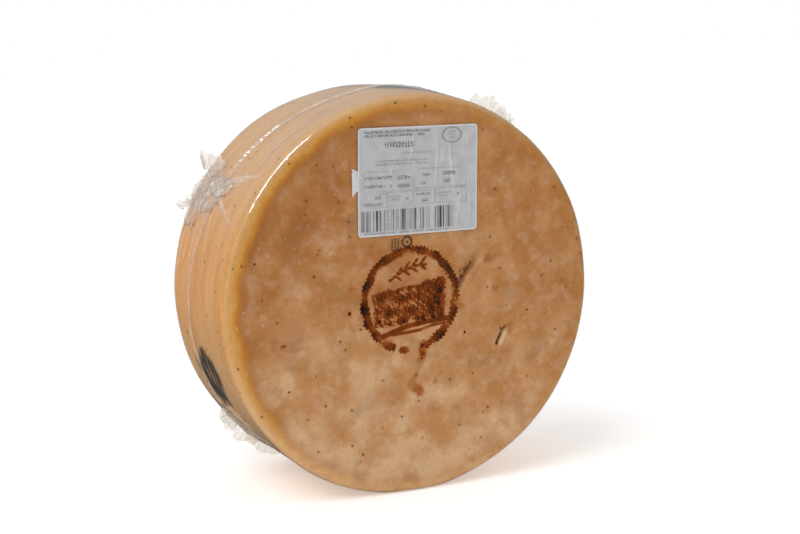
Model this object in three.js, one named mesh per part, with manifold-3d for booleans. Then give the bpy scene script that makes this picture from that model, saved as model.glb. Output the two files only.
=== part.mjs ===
// A whole wheel of hard sheep's-milk cheese in its shrunk vacuum pouch, standing on its rim.
//
// Millimetres, +Z up. The wheel's own axis runs along Y and its labelled face looks towards -Y.
// The origin is on the floor, under the middle of the wheel.
//
// The wheel is one solid. The pouch around it is two cup-shaped sheets of film, the weld that joins
// them round the rim, and the four corners of the flat pouch, which stand out beside the weld as
// gathered fans. A paper label and a torn scrap of paper are stuck on the front sheet. Every piece
// keeps GAP to its neighbours.

import * as THREE from "three";
import { mergeVertices } from "three/addons/utils/BufferGeometryUtils.js";
import Module from "manifold-3d";

// ---------- driving dimensions ----------

const DIAMETER = 340; // over the film
const THICKNESS = 138; // over the film
const EDGE_RADIUS = 12; // the rounded edge between rim and face, over the film
const FOOT_DEPTH = 2.5; // how far the rim is pressed flat where it stands

const FILM_WALL = 0.4;
const GAP = 0.3;

const WELD_WIDTH = 5;
const WELD_RISE = 0.4; // how far the weld stands above the sheets beside it
const WELD_OFFSET = 11; // from the middle of the wheel's thickness towards the back face
const WELD_LEAN_ACROSS = -0.058; // how far the weld's plane runs back for each step along +X
const WELD_LEAN_UP = -0.096; // how far the weld's plane runs back for each step up

const LABEL_WIDTH = 110;
const LABEL_HEIGHT = 89;
const LABEL_CORNER = 3;
const LABEL_RISE = 99.5; // from the wheel's axis up to the label's middle
const PAPER_WALL = 0.3;

const SCRAP_WIDTH = 5.5; // what shows of the scrap beside the label
const SCRAP_HEIGHT = 23;
const SCRAP_RISE = 100; // from the wheel's axis up to the scrap's middle

// Where each corner of the pouch stands, as an angle round the rim from +X and a way back from the
// weld, and how big its fan is.
const CORNERS = [
  { name: "pouch_corner_top_left", angle: 149, back: 14, width: 44, height: 11 },
  { name: "pouch_corner_top_right", angle: 55.5, back: -2, width: 46, height: 23 },
  { name: "pouch_corner_bottom_left", angle: 226, back: 6, width: 66, height: 12 },
  { name: "pouch_corner_bottom_right", angle: 332, back: 0, width: 44, height: 16 },
];

const PLEATS = 12; // folds across one fan
const PLEAT_DEPTH = 5; // from the crest of one fold to the crest of the next, at the fan's tip
const PLEAT_WALL = 0.9;
const NECK_WIDTH = 0.42; // how wide and deep a fan is at its neck, as a share of its tip
const FAN_DROOP = 0.4; // how much lower a fan's two sides are than its middle, as a share of its height

// ---------- fineness ----------

const ROUND_SEGMENTS = 80;
const EDGE_SEGMENTS = 5;
const FAN_STEPS = 4;
const LABEL_CORNER_SEGMENTS = 4;

// ---------- worked-out places ----------

const OUTER_RADIUS = DIAMETER / 2;
const AXIS_HEIGHT = OUTER_RADIUS - FOOT_DEPTH;
const FRONT = -THICKNESS / 2;
const BIG = 2 * DIAMETER; // longer than the whole object

const wasm = await Module();
wasm.setup();

// ---------- solids ----------

// A geometry, with its mesh's place applied, as a manifold-3d solid.
function solidOf(geometry, place = new THREE.Matrix4()) {
  const bare = geometry.clone().applyMatrix4(place);
  bare.deleteAttribute("normal");
  bare.deleteAttribute("uv");
  const merged = mergeVertices(bare, 1e-4);
  return new wasm.Manifold(
    new wasm.Mesh({
      numProp: 3,
      vertProperties: new Float32Array(merged.attributes.position.array),
      triVerts: new Uint32Array(merged.index.array),
    }),
  );
}

// A manifold-3d solid back as a geometry.
function geometryOf(solid) {
  const mesh = solid.getMesh();
  const geometry = new THREE.BufferGeometry();
  geometry.setAttribute("position", new THREE.BufferAttribute(mesh.vertProperties, 3));
  geometry.setIndex(new THREE.BufferAttribute(mesh.triVerts, 1));
  geometry.computeVertexNormals();
  return geometry;
}

// A box between two corners, put in its place, as a solid.
function boxSolid(low, high, place = new THREE.Matrix4()) {
  const size = new THREE.Vector3().subVectors(high, low);
  const middle = new THREE.Vector3().addVectors(low, high).multiplyScalar(0.5);
  const geometry = new THREE.BoxGeometry(size.x, size.y, size.z);
  geometry.translate(middle.x, middle.y, middle.z);
  return solidOf(geometry, place);
}

// A disc with rounded edges, lying inset from the outside of the pouch by the same amount all
// round, and pressed flat below at that inset too.
function insetDisc(inset) {
  const radius = OUTER_RADIUS - inset;
  const half = THICKNESS / 2 - inset;
  const edge = EDGE_RADIUS - inset;
  const profile = [new THREE.Vector2(0, -half)];
  for (const side of [-1, 1]) {
    for (let i = 0; i <= EDGE_SEGMENTS; i += 1) {
      const share = side < 0 ? i / EDGE_SEGMENTS : 1 - i / EDGE_SEGMENTS;
      const turn = (share * Math.PI) / 2;
      const across = radius - edge + edge * Math.sin(turn);
      const along = side * (half - edge + edge * Math.cos(turn));
      profile.push(new THREE.Vector2(across, along));
    }
  }
  profile.push(new THREE.Vector2(0, half));
  const turned = new THREE.LatheGeometry(profile, ROUND_SEGMENTS);
  const place = new THREE.Matrix4().makeTranslation(0, 0, AXIS_HEIGHT);
  return solidOf(turned, place).subtract(floorUpTo(inset));
}

// Everything below one height, as a solid.
function floorUpTo(height) {
  return boxSolid(new THREE.Vector3(-BIG, -BIG, -BIG), new THREE.Vector3(BIG, BIG, height));
}

// How far back the middle of the weld lies at a place across and up from the wheel's axis.
function weldAt(x, rise) {
  return WELD_OFFSET + WELD_LEAN_ACROSS * x + WELD_LEAN_UP * rise;
}

// The slice of space between two planes that lie in front of and behind the weld's own leaning
// plane, as a solid.
function slice(from, to) {
  const low = new THREE.Vector3(-BIG, from, -BIG);
  const high = new THREE.Vector3(BIG, to, BIG);
  const backwards = new THREE.Vector3(-WELD_LEAN_ACROSS, 1, -WELD_LEAN_UP).normalize();
  const lean = new THREE.Quaternion().setFromUnitVectors(new THREE.Vector3(0, 1, 0), backwards);
  const middle = new THREE.Vector3(0, weldAt(0, 0), AXIS_HEIGHT);
  const place = new THREE.Matrix4().makeRotationFromQuaternion(lean).setPosition(middle);
  return boxSolid(low, high, place);
}

// ---------- materials ----------

function material(color, roughness, extra = {}) {
  return new THREE.MeshStandardMaterial({ color, roughness, metalness: 0, ...extra });
}

const rind = material(0xbd8a58, 0.5);
const film = material(0xd9d2c8, 0.12, { transparent: true, opacity: 0.3 });
const paper = material(0xc8c8ca, 0.7);

// ---------- pieces ----------

function piece(name, geometry, finish) {
  const mesh = new THREE.Mesh(geometry, finish);
  mesh.name = name;
  return mesh;
}

// The cheese: one solid, pressed flat where it stands.
function cheeseWheel() {
  return piece("cheese_wheel", geometryOf(insetDisc(FILM_WALL + GAP)), rind);
}

// The two sheets of the pouch: each is a cup over one face, from the face round to the weld.
function pouchSheets() {
  const skin = insetDisc(0).subtract(insetDisc(FILM_WALL));
  const weldEdge = WELD_WIDTH / 2 + GAP;
  return [
    piece("pouch_front_sheet", geometryOf(skin.intersect(slice(-BIG, -weldEdge))), film),
    piece("pouch_back_sheet", geometryOf(skin.intersect(slice(weldEdge, BIG))), film),
  ];
}

// The weld: a raised band round the rim, in a plane that leans a little against the wheel's own, and
// flush with the sheets under the foot.
function pouchWeld() {
  const band = insetDisc(-WELD_RISE)
    .subtract(insetDisc(FILM_WALL))
    .subtract(floorUpTo(0))
    .intersect(slice(-WELD_WIDTH / 2, WELD_WIDTH / 2));
  return piece("pouch_weld", geometryOf(band), film);
}

// The outline of a folded strip of film: a zigzag with a wall, along X, folding in Y.
function pleatOutline(width) {
  const near = [];
  const far = [];
  for (let i = 0; i <= PLEATS; i += 1) {
    const x = width * (i / PLEATS - 0.5);
    const y = (i % 2 === 0 ? -1 : 1) * (PLEAT_DEPTH / 2);
    near.push(new THREE.Vector2(x, y - PLEAT_WALL / 2));
    far.unshift(new THREE.Vector2(x, y + PLEAT_WALL / 2));
  }
  return new THREE.Shape([...near, ...far]);
}

// One corner of the pouch: a folded strip that rises out of a narrow neck and spreads into a fan
// with a rounded top. Its neck sits on the weld.
function pouchCorner({ name, angle, back, width, height }) {
  const fan = new THREE.ExtrudeGeometry(pleatOutline(width), {
    depth: height,
    steps: FAN_STEPS,
    bevelEnabled: false,
  });
  const at = fan.attributes.position;
  for (let i = 0; i < at.count; i += 1) {
    const rise = at.getZ(i) / height;
    const spread = NECK_WIDTH + (1 - NECK_WIDTH) * rise;
    const aside = (2 * at.getX(i)) / width;
    const top = 1 - FAN_DROOP * aside * aside;
    at.setXYZ(i, at.getX(i) * spread, at.getY(i) * spread, height * rise * top);
  }
  fan.computeVertexNormals();
  const mesh = piece(name, fan, film);
  const turn = THREE.MathUtils.degToRad(angle);
  const reach = OUTER_RADIUS + WELD_RISE + GAP;
  const x = reach * Math.cos(turn);
  const rise = reach * Math.sin(turn);
  mesh.position.set(x, weldAt(x, rise) + back, AXIS_HEIGHT + rise);
  mesh.rotation.y = Math.PI / 2 - turn;
  return mesh;
}

// A flat cut of paper stuck on the front sheet: its outline is drawn from its own middle.
function onFrontSheet(name, outline, x, rise) {
  const geometry = new THREE.ExtrudeGeometry(outline, {
    depth: PAPER_WALL,
    curveSegments: LABEL_CORNER_SEGMENTS,
    bevelEnabled: false,
  });
  const mesh = piece(name, geometry, paper);
  mesh.position.set(x, FRONT - GAP, AXIS_HEIGHT + rise);
  mesh.rotation.x = Math.PI / 2;
  return mesh;
}

// The label: a sheet of paper with rounded corners.
function paperLabel() {
  const x = LABEL_WIDTH / 2 - LABEL_CORNER;
  const y = LABEL_HEIGHT / 2 - LABEL_CORNER;
  const outline = new THREE.Shape();
  outline.absarc(x, y, LABEL_CORNER, 0, Math.PI / 2);
  outline.absarc(-x, y, LABEL_CORNER, Math.PI / 2, Math.PI);
  outline.absarc(-x, -y, LABEL_CORNER, Math.PI, 1.5 * Math.PI);
  outline.absarc(x, -y, LABEL_CORNER, 1.5 * Math.PI, 2 * Math.PI);
  outline.closePath();
  return onFrontSheet("paper_label", outline, 0, LABEL_RISE);
}

// The scrap: what is left of an older strip of paper, torn off to a point beside the label.
function paperScrap() {
  const side = SCRAP_WIDTH / 2;
  const end = SCRAP_HEIGHT / 2;
  const outline = new THREE.Shape([
    new THREE.Vector2(-side, end * 0.95),
    new THREE.Vector2(-side * 0.8, -end),
    new THREE.Vector2(side, -end * 0.5),
    new THREE.Vector2(side, end * 0.75),
    new THREE.Vector2(side * 0.1, end),
  ]);
  const x = -(LABEL_WIDTH + SCRAP_WIDTH) / 2 - GAP;
  return onFrontSheet("paper_scrap", outline, x, SCRAP_RISE);
}

// ---------- the whole ----------

const wheelInPouch = new THREE.Group();
wheelInPouch.add(cheeseWheel());
wheelInPouch.add(...pouchSheets());
wheelInPouch.add(pouchWeld());
for (const corner of CORNERS) {
  wheelInPouch.add(pouchCorner(corner));
}
wheelInPouch.add(paperLabel());
wheelInPouch.add(paperScrap());

export default wheelInPouch;
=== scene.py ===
"""A wheel of hard cheese in its shrunk vacuum pouch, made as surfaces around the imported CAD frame.

The cheese, the two sheets of film, their weld, the four gathered corners of the pouch, the paper
label and a torn scrap of paper each stand for the CAD node of the same name. Blender's unit is the
metre. The sizes below are in millimetres, and angles go round the wheel's axis from +X to +Z.
"""

import logging
import math
from dataclasses import dataclass, field
from enum import Enum

import bpy
import numpy as np
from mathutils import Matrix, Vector


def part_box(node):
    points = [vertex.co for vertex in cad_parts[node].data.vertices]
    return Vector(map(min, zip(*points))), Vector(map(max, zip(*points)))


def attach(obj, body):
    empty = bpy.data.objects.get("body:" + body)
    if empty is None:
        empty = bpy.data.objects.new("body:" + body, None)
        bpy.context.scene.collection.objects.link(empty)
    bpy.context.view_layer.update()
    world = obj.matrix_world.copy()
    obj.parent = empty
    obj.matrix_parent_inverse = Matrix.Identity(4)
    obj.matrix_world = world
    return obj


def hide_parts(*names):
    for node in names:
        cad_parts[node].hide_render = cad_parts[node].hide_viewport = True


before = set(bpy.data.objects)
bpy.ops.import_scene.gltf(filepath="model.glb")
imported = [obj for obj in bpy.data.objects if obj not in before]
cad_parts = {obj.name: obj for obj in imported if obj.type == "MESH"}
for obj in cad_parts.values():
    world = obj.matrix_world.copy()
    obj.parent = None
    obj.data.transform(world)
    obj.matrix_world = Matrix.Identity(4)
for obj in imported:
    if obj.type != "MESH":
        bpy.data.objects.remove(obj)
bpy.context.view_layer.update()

MM = 0.001
LOG = logging.getLogger("cheese_wheel")

Colour = tuple[float, float, float, float]
Path = tuple[tuple[float, float], ...]
Socket = bpy.types.NodeSocket


# ---------------------------------------------------------------- numbers


def linear(code: str) -> Colour:
    """Turns a hex sRGB colour into linear light.

    Args:
        code: six hex digits after a hash.

    Returns:
        Red, green and blue from 0 to 1, and an alpha of 1.
    """
    parts = [int(code[i : i + 2], 16) / 255 for i in (1, 3, 5)]
    red, green, blue = (p / 12.92 if p <= 0.04045 else ((p + 0.055) / 1.055) ** 2.4 for p in parts)
    return red, green, blue, 1.0


def ramp(low: float, high: float, x: np.ndarray) -> np.ndarray:
    """Smooth step: 0 at low, 1 at high and 3t^2 - 2t^3 between. Either end may be the larger one."""
    t = np.clip((x - low) / (high - low), 0.0, 1.0)
    return t * t * (3 - 2 * t)


def waves(points: np.ndarray, size: float, seed: int, count: int = 18) -> np.ndarray:
    """Soft random swell: the mean of cosines that run in random directions.

    Args:
        points: (..., n) coordinates in millimetres.
        size: the wavelength, in millimetres; each wave is 0.7 to 1.5 times as long.
        seed: seed of the directions, lengths and phases.
        count: number of waves.

    Returns:
        Values of about -1 to 1, one for each point.
    """
    rng = np.random.default_rng(seed)
    total = np.zeros(points.shape[:-1])
    for _ in range(count):
        way = rng.normal(size=points.shape[-1])
        way *= 2 * math.pi / (size * rng.uniform(0.7, 1.5) * np.linalg.norm(way))
        total += np.cos(points @ way + rng.uniform(0, 2 * math.pi))
    return total * math.sqrt(2 / count) / 1.6


def creases(points: np.ndarray, size: float, seed: int, count: int = 6) -> np.ndarray:
    """Crumpled film: the mean of triangle waves, which meet in sharp straight creases.

    Args:
        points: (..., n) coordinates in millimetres.
        size: the distance from crease to crease, in millimetres.
        seed: seed of the directions, lengths and phases.
        count: number of waves.

    Returns:
        Values of about -1 to 1, one for each point.
    """
    rng = np.random.default_rng(seed)
    total = np.zeros(points.shape[:-1])
    for _ in range(count):
        way = rng.normal(size=points.shape[-1])
        way /= size * rng.uniform(0.6, 1.9) * np.linalg.norm(way)
        total += 4 * np.abs(np.mod(points @ way + rng.uniform(), 1) - 0.5) - 1
    return total / math.sqrt(count)


def along(points: np.ndarray, path: Path) -> tuple[np.ndarray, np.ndarray]:
    """Places points beside a path of straight stretches.

    Args:
        points: (..., 2) coordinates.
        path: the path's corners in order.

    Returns:
        Each point's distance from the path, with a plus on its right, and how far along the path
        its nearest point lies, from 0 to 1.
    """
    corners = np.array(path, float)
    steps = np.linalg.norm(np.diff(corners, axis=0), axis=1)
    starts = np.concatenate([[0], np.cumsum(steps)])
    best = np.full(points.shape[:-1], 1e9)
    side = np.zeros_like(best)
    share = np.zeros_like(best)
    for a, b, length, start in zip(corners[:-1], corners[1:], steps, starts):
        way = (b - a) / length
        t = np.clip((points - a) @ way, 0, length)
        away = points - a - t[..., None] * way
        distance = np.linalg.norm(away, axis=-1)
        near = distance < best
        best = np.where(near, distance, best)
        side = np.where(near, away[..., 0] * way[1] - away[..., 1] * way[0], side)
        share = np.where(near, (start + t) / starts[-1], share)
    return best * np.where(side < 0, -1, 1), share


def spaced_angles(count: int, focus: list[tuple[float, float, float]]) -> np.ndarray:
    """Angles once round, closer together where the surface has more detail.

    Args:
        count: number of angles.
        focus: (middle in degrees, half width in degrees, extra density) of each detailed stretch.

    Returns:
        Angles in radians, from -180 degrees up.
    """
    fine = np.linspace(-180, 180, 7201)
    density = np.ones_like(fine)
    for middle, half, gain in focus:
        off = np.mod(fine - middle + 180, 360) - 180
        density += gain * np.exp(-((off / half) ** 4))
    total = np.concatenate([[0], np.cumsum((density[1:] + density[:-1]) / 2)])
    return np.radians(np.interp(np.arange(count) / count, total / total[-1], fine))


# ---------------------------------------------------------------- meshes


class Closing(Enum):
    """How a grid of points closes: not at all, as a ball with two poles, or as a ring."""

    OPEN = "open"
    BALL = "ball"
    RING = "ring"


@dataclass
class MeshDraft:
    """Collects grids of points, in millimetres, and makes them one mesh object."""

    points: list[np.ndarray] = field(default_factory=list)
    faces: list[np.ndarray] = field(default_factory=list)
    values: list[dict[str, np.ndarray]] = field(default_factory=list)
    places: list[np.ndarray] = field(default_factory=list)
    count: int = 0

    def add(
        self,
        grid: np.ndarray,
        closing: Closing,
        place: np.ndarray | None = None,
        **values: np.ndarray,
    ) -> None:
        """Adds a grid as quads, with a fan of triangles at each pole of a ball.

        Args:
            grid: (rows, columns, 3) points. Rows then columns turn left seen from outside.
            closing: how the grid closes. The columns of a ball wrap; a ring wraps both ways.
            place: (rows, columns, 2) UV coordinates, if the finish needs them.
            values: (rows, columns) numbers stored at the points under their name.
        """
        rows, columns = grid.shape[:2]
        row = np.arange(rows if closing is Closing.RING else rows - 1)[:, None]
        column = np.arange(columns - 1 if closing is Closing.OPEN else columns)[None, :]
        below, beside = (row + 1) % rows, (column + 1) % columns
        corners = (
            row * columns + column,
            below * columns + column,
            below * columns + beside,
            row * columns + beside,
        )
        flat = grid.reshape(-1, 3)
        stored = {name: v.reshape(-1) for name, v in values.items()}
        self.faces.append(np.stack(corners, -1).reshape(-1, 4) + self.count)
        if closing is Closing.BALL:
            first, last = len(flat), len(flat) + 1
            end = (rows - 1) * columns
            around, onward = np.arange(columns), (np.arange(columns) + 1) % columns
            self.faces.append(np.stack([np.full(columns, first), around, onward], -1) + self.count)
            self.faces.append(np.stack([np.full(columns, last), end + onward, end + around], -1) + self.count)
            flat = np.vstack([flat, grid[0].mean(0), grid[-1].mean(0)])
            stored = {n: np.append(v, [values[n][0].mean(), values[n][-1].mean()]) for n, v in stored.items()}
        self.points.append(flat)
        self.values.append(stored)
        if place is not None:
            self.places.append(place.reshape(-1, 2))
        self.count += len(flat)

    def build(self, name: str) -> bpy.types.Object:
        """Makes the object, smooth shaded, with its place in its mesh.

        Args:
            name: the object's and the mesh's name.

        Returns:
            The object, in the scene.
        """
        mesh = bpy.data.meshes.new(name)
        faces = [face for block in self.faces for face in block.tolist()]
        mesh.from_pydata((np.concatenate(self.points) * MM).tolist(), [], faces)
        mesh.shade_smooth()
        for label in self.values[0]:
            attribute = mesh.attributes.new(label, "FLOAT", "POINT")
            joined = np.concatenate([stored[label] for stored in self.values])
            attribute.data.foreach_set("value", joined.astype(np.float32))
        if self.places:
            corner_points = np.zeros(len(mesh.loops), np.int32)
            mesh.loops.foreach_get("vertex_index", corner_points)
            layer = mesh.uv_layers.new(name="layout")
            places = np.concatenate(self.places)[corner_points]
            layer.data.foreach_set("uv", places.astype(np.float32).ravel())
        made = bpy.data.objects.new(name, mesh)
        bpy.context.scene.collection.objects.link(made)
        return made


def thicken(piece: bpy.types.Object, wall: float) -> None:
    """Gives an open sheet a wall behind it, so that it is closed.

    Args:
        piece: the sheet.
        wall: the wall's thickness, in millimetres.
    """
    solid = piece.modifiers.new("wall", "SOLIDIFY")
    solid.thickness = wall * MM
    solid.offset = -1.0


def stand_in(piece: bpy.types.Object, node: str, finish: bpy.types.Material) -> bpy.types.Object:
    """Puts a finish on a piece and lets it stand for its CAD node.

    Args:
        piece: the finished mesh object.
        node: the CAD node that it stands for.
        finish: the material.

    Returns:
        The piece.
    """
    piece.data.materials.append(finish)
    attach(piece, "root")
    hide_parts(node)
    return piece


# ---------------------------------------------------------------- finishes


def add_node(
    tree: bpy.types.NodeTree,
    kind: str,
    inputs: dict | None = None,
    **settings: object,
) -> bpy.types.Node:
    """Adds a node, sets its properties and fills its inputs.

    Args:
        tree: the node tree.
        kind: the node type's name without "ShaderNode".
        inputs: a value or a socket to link, by the input's name or number.
        settings: the node's properties. stops gives a colour ramp's (place, colour) pairs.

    Returns:
        The node.
    """
    node = tree.nodes.new("ShaderNode" + kind)
    stops = settings.pop("stops", None)
    for name, value in settings.items():
        setattr(node, name, value)
    for name, value in (inputs or {}).items():
        if isinstance(value, Socket):
            tree.links.new(value, node.inputs[name])
        else:
            node.inputs[name].default_value = value
    if stops:
        while len(node.color_ramp.elements) < len(stops):
            node.color_ramp.elements.new(1.0)
        for element, (place, colour) in zip(node.color_ramp.elements, stops):
            element.position = place
            element.color = colour
    return node


def new_finish(name: str) -> tuple[bpy.types.Material, bpy.types.NodeTree]:
    """Makes an empty node material.

    Args:
        name: the material's name.

    Returns:
        The material and its node tree.
    """
    material = bpy.data.materials.new(name)
    material.use_nodes = True
    material.node_tree.nodes.clear()
    return material, material.node_tree


@dataclass(frozen=True)
class Pattern:
    """A noise or cell pattern in a finish, read as a mask from 0 to 1.

    size is the distance in millimetres from one patch to the next. The mask is 0 where the
    texture is at low and 1 where it is at high. stretch makes the patches longer along X, Y, Z.
    """

    size: float
    low: float
    high: float
    seed: float = 0.0
    detail: float = 4.0
    cells: bool = False
    stretch: tuple[float, float, float] = (1.0, 1.0, 1.0)

    def mask(self, tree: bpy.types.NodeTree, coords: Socket) -> Socket:
        """Adds the pattern to a tree.

        Args:
            tree: the material's tree.
            coords: the coordinates that the pattern lies on.

        Returns:
            The mask's socket.
        """
        scale = tuple(1 / (self.size * MM * s) for s in self.stretch)
        shift = (self.seed, 1.7 * self.seed, -self.seed)
        placed = add_node(tree, "Mapping", {"Vector": coords, "Location": shift, "Scale": scale})
        kind, value, inputs = "TexNoise", "Fac", {"Scale": 1.0, "Detail": self.detail}
        if self.cells:
            kind, value, inputs = "TexVoronoi", "Distance", {"Scale": 1.0}
        texture = add_node(tree, kind, {"Vector": placed.outputs[0], **inputs})
        limits = {"Value": texture.outputs[value], "From Min": self.low, "From Max": self.high}
        return add_node(tree, "MapRange", limits, interpolation_type="SMOOTHSTEP").outputs[0]


@dataclass(frozen=True)
class WashedRind:
    """Natural rind of a hard sheep's-milk cheese: moulded in a hoop, salted, oiled and aged.

    It gives the eye a satin amber to tan skin, cloudy with paler fat and brown smears, with a
    golden band round the edge, a peach rim, pinholes, a scorched stamp and ink smudges. Light is
    painted into it too: painted shade towards the upper left and the right edge, paler colour
    towards the floor that is partly painted light, gold that is partly painted light on the lit
    left side, a pale veil of painted sheen and painted light on the rim, painted shade in the
    pinholes, and painted shadow in the cut and the slit with a painted highlight beside them.
    golden band round the edge, a peach rim, pinholes, a scorched stamp and ink smudges.
    """

    tans: tuple[str, ...] = ("#955827", "#AD713A", "#C18751", "#CF9B6A", "#E4BE96")
    rim_tones: tuple[str, str] = ("#DE9B50", "#F0B672")
    # Colour and cover of the gold at each distance inward from the rim plus the drift, in millimetres. The
    # band is partly the rind's gold and partly painted light.
    edge_band: tuple[tuple[float, str, float], ...] = (
        (-0.5, "#D9A868", 0.0),
        (5.5, "#DFB272", 0.55),
        (9.0, "#DCA552", 0.86),
        (13.0, "#CB8630", 0.88),
        (16.5, "#AD6A2C", 0.54),
        (22.0, "#97602F", 0.16),
        (35.0, "#97602F", 0.0),
    )
    scorches: tuple[tuple[float, str], ...] = (
        (0.05, "#B4660F"),
        (0.35, "#954400"),
        (0.70, "#602B00"),
        (1.0, "#1C0F0A"),
    )
    drift: float = 5.0
    # Fat and colour gather in clouds of 2 to 3 cm, and paler fat in patches of about 1 cm.
    clouds: Pattern = Pattern(30, 0.25, 0.78, 3.1, 10.0)
    pale: Pattern = Pattern(12, 0.46, 0.76, 7.7, 10.0)
    mauve: Pattern = Pattern(30, 0.54, 0.72, 11.3, 7.0)
    amber: Pattern = Pattern(20, 0.52, 0.74, 17.9, 7.0)
    mottle: Pattern = Pattern(4.0, 0.30, 0.70, 23.0, 5.0)
    # The rim was turned in its hoop, so its streaks and the ink's smears run round the wheel.
    streaks: Pattern = Pattern(18.0, 0.20, 0.80, 5.0, 2.0, False, (6.0, 1.0, 6.0))
    smears: Pattern = Pattern(3.4, 0.34, 0.50, 53.0, 3.0, False, (7.0, 1.0, 7.0))
    # Cream flecks, brown specks and open pinholes, each a cell pattern with one spot to a cell. The pinholes'
    # dark colour is painted shade.
    flecks: Pattern = Pattern(9.0, 0.120, 0.060, 31.0, 0.0, True)
    specks: Pattern = Pattern(15.0, 0.130, 0.040, 37.0, 0.0, True)
    pinholes: Pattern = Pattern(19.0, 0.072, 0.036, 43.0, 0.0, True)
    # Curd grain is finer than a millimetre. It is drawn at 1.6 mm so that it shows.
    grit: Pattern = Pattern(1.6, 0.0, 1.0, 47.0, 3.0)

    def make(self) -> bpy.types.Material:
        """Builds the material: the skin's tone, then each mark laid over it in turn.

        Returns:
            The material.
        """
        material, tree = new_finish("rind_amber_aged")
        coords = add_node(tree, "TexCoord").outputs["Object"]
        names = ("inward", "rim", "burn", "ink", "stain", "cleft", "lip", "shade", "gilt", "frost")
        marks = {n: add_node(tree, "Attribute", attribute_name=n).outputs["Fac"] for n in names}
        clouds = self.clouds.mask(tree, coords)
        pinholes = self.pinholes.mask(tree, coords)
        lows, highs = (linear(code) for code in self.rim_tones)
        streaks = self.streaks.mask(tree, coords)
        peach = add_node(tree, "Mix", {0: streaks, 6: lows, 7: highs}, data_type="RGBA").outputs[2]
        gold, gold_cover = self.gilding(tree, clouds, marks)
        scorch, scorch_cover = self.scorching(tree, marks["burn"])
        # Each layer's mask, how much of it shows, and its colour.
        layers = (
            (self.mauve.mask(tree, coords), 0.30, linear("#94705C")),
            (self.amber.mask(tree, coords), 0.42, linear("#AE6C32")),
            (marks["rim"], 1.0, peach),
            # The golden band: partly the rind's gold, partly painted light on the lit left side.
            (gold_cover, 1.0, gold),
            # Pale veil: painted sheen of the film over the rim's top, and painted light on its lower part.
            (marks["frost"], 1.0, linear("#E6CBAA")),
            (self.flecks.mask(tree, coords), 0.40, linear("#E9D6BC")),
            (marks["stain"], 0.95, linear("#A5540F")),
            (self.specks.mask(tree, coords), 0.75, linear("#84400F")),
            # Painted shade in the open pinholes.
            (pinholes, 0.92, linear("#3A1B0E")),
            (scorch_cover, 1.0, scorch),
            (self.smeared_ink(tree, coords, marks), 1.0, linear("#2C2422")),
            # Painted shadow in the cut and the slit.
            (marks["cleft"], 1.0, linear("#4C1F06")),
            # Cream of the cut cheese and a painted highlight on the cut's and the slit's lit sides.
            (marks["lip"], 1.0, linear("#F2D6A8")),
        )
        tone = self.skin_tone(tree, coords, clouds, marks["shade"])
        for mask, most, colour in layers:
            share = add_node(tree, "Math", {0: mask, 1: most}, operation="MULTIPLY").outputs[0]
            tone = add_node(tree, "Mix", {0: share, 6: tone, 7: colour}, data_type="RGBA").outputs[2]
        shades = {"Value": self.mottle.mask(tree, coords), "To Min": 0.94, "To Max": 1.05}
        mottle = add_node(tree, "MapRange", shades).outputs[0]
        tone = add_node(tree, "VectorMath", {0: tone, 1: mottle}, operation="MULTIPLY").outputs[0]
        rough = add_node(tree, "MapRange", {"Value": clouds, "To Min": 0.48, "To Max": 0.64}).outputs[0]
        grit = self.grit.mask(tree, coords)
        pits = add_node(tree, "Math", {0: pinholes, 1: -0.5, 2: grit}, operation="MULTIPLY_ADD").outputs[0]
        relief = add_node(tree, "Bump", {"Height": pits, "Distance": 0.00006, "Strength": 1.0}).outputs[0]
        look = {"Base Color": tone, "Roughness": rough, "IOR": 1.45, "Specular IOR Level": 0.12}
        skin = add_node(tree, "BsdfPrincipled", {**look, "Normal": relief})
        add_node(tree, "OutputMaterial", {"Surface": skin.outputs[0]})
        return material

    def skin_tone(self, tree: bpy.types.NodeTree, coords: Socket, clouds: Socket, shade: Socket) -> Socket:
        """Adds the tan skin, paler and pinker towards the floor, partly as painted light, and browner where
        painted shade darkens it.

        Args:
            tree: the material's tree.
            coords: Object coordinates.
            clouds: the cloud mask, which moves the tone from brown to cream.
            shade: painted shade, how much each part of the face is browned and darkened.

        Returns:
            The skin's colour, with the pale fat over it.
        """
        # Paler and pinker towards the floor: partly the rind's own colour and partly painted light.
        height = add_node(tree, "SeparateXYZ", {0: coords}).outputs["Z"]
        fall = {"Value": height, "From Min": 0.32, "From Max": 0.02, "To Min": -0.02, "To Max": 0.31}
        lower = add_node(tree, "MapRange", fall).outputs[0]
        # Painted shade: the tone darkens as the shade value grows.
        aside = add_node(tree, "Math", {0: shade, 1: -0.36, 2: lower}, operation="MULTIPLY_ADD").outputs[0]
        depth = add_node(tree, "Math", {0: clouds, 1: 0.42, 2: aside}, operation="MULTIPLY_ADD").outputs[0]
        level = add_node(tree, "Math", {0: depth, 1: 0.48}, operation="ADD").outputs[0]
        last = len(self.tans) - 1
        stops = [(i / last, linear(code)) for i, code in enumerate(self.tans)]
        tan = add_node(tree, "ValToRGB", {0: level}, stops=stops).outputs[0]
        gain = {"Value": lower, "From Min": -0.14, "From Max": 0.24, "To Min": 0.26, "To Max": 0.52}
        fat = add_node(tree, "MapRange", gain).outputs[0]
        pale = self.pale.mask(tree, coords)
        share = add_node(tree, "Math", {0: pale, 1: fat}, operation="MULTIPLY").outputs[0]
        return add_node(tree, "Mix", {0: share, 6: tan, 7: linear("#DDBB9B")}, data_type="RGBA").outputs[2]

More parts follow.
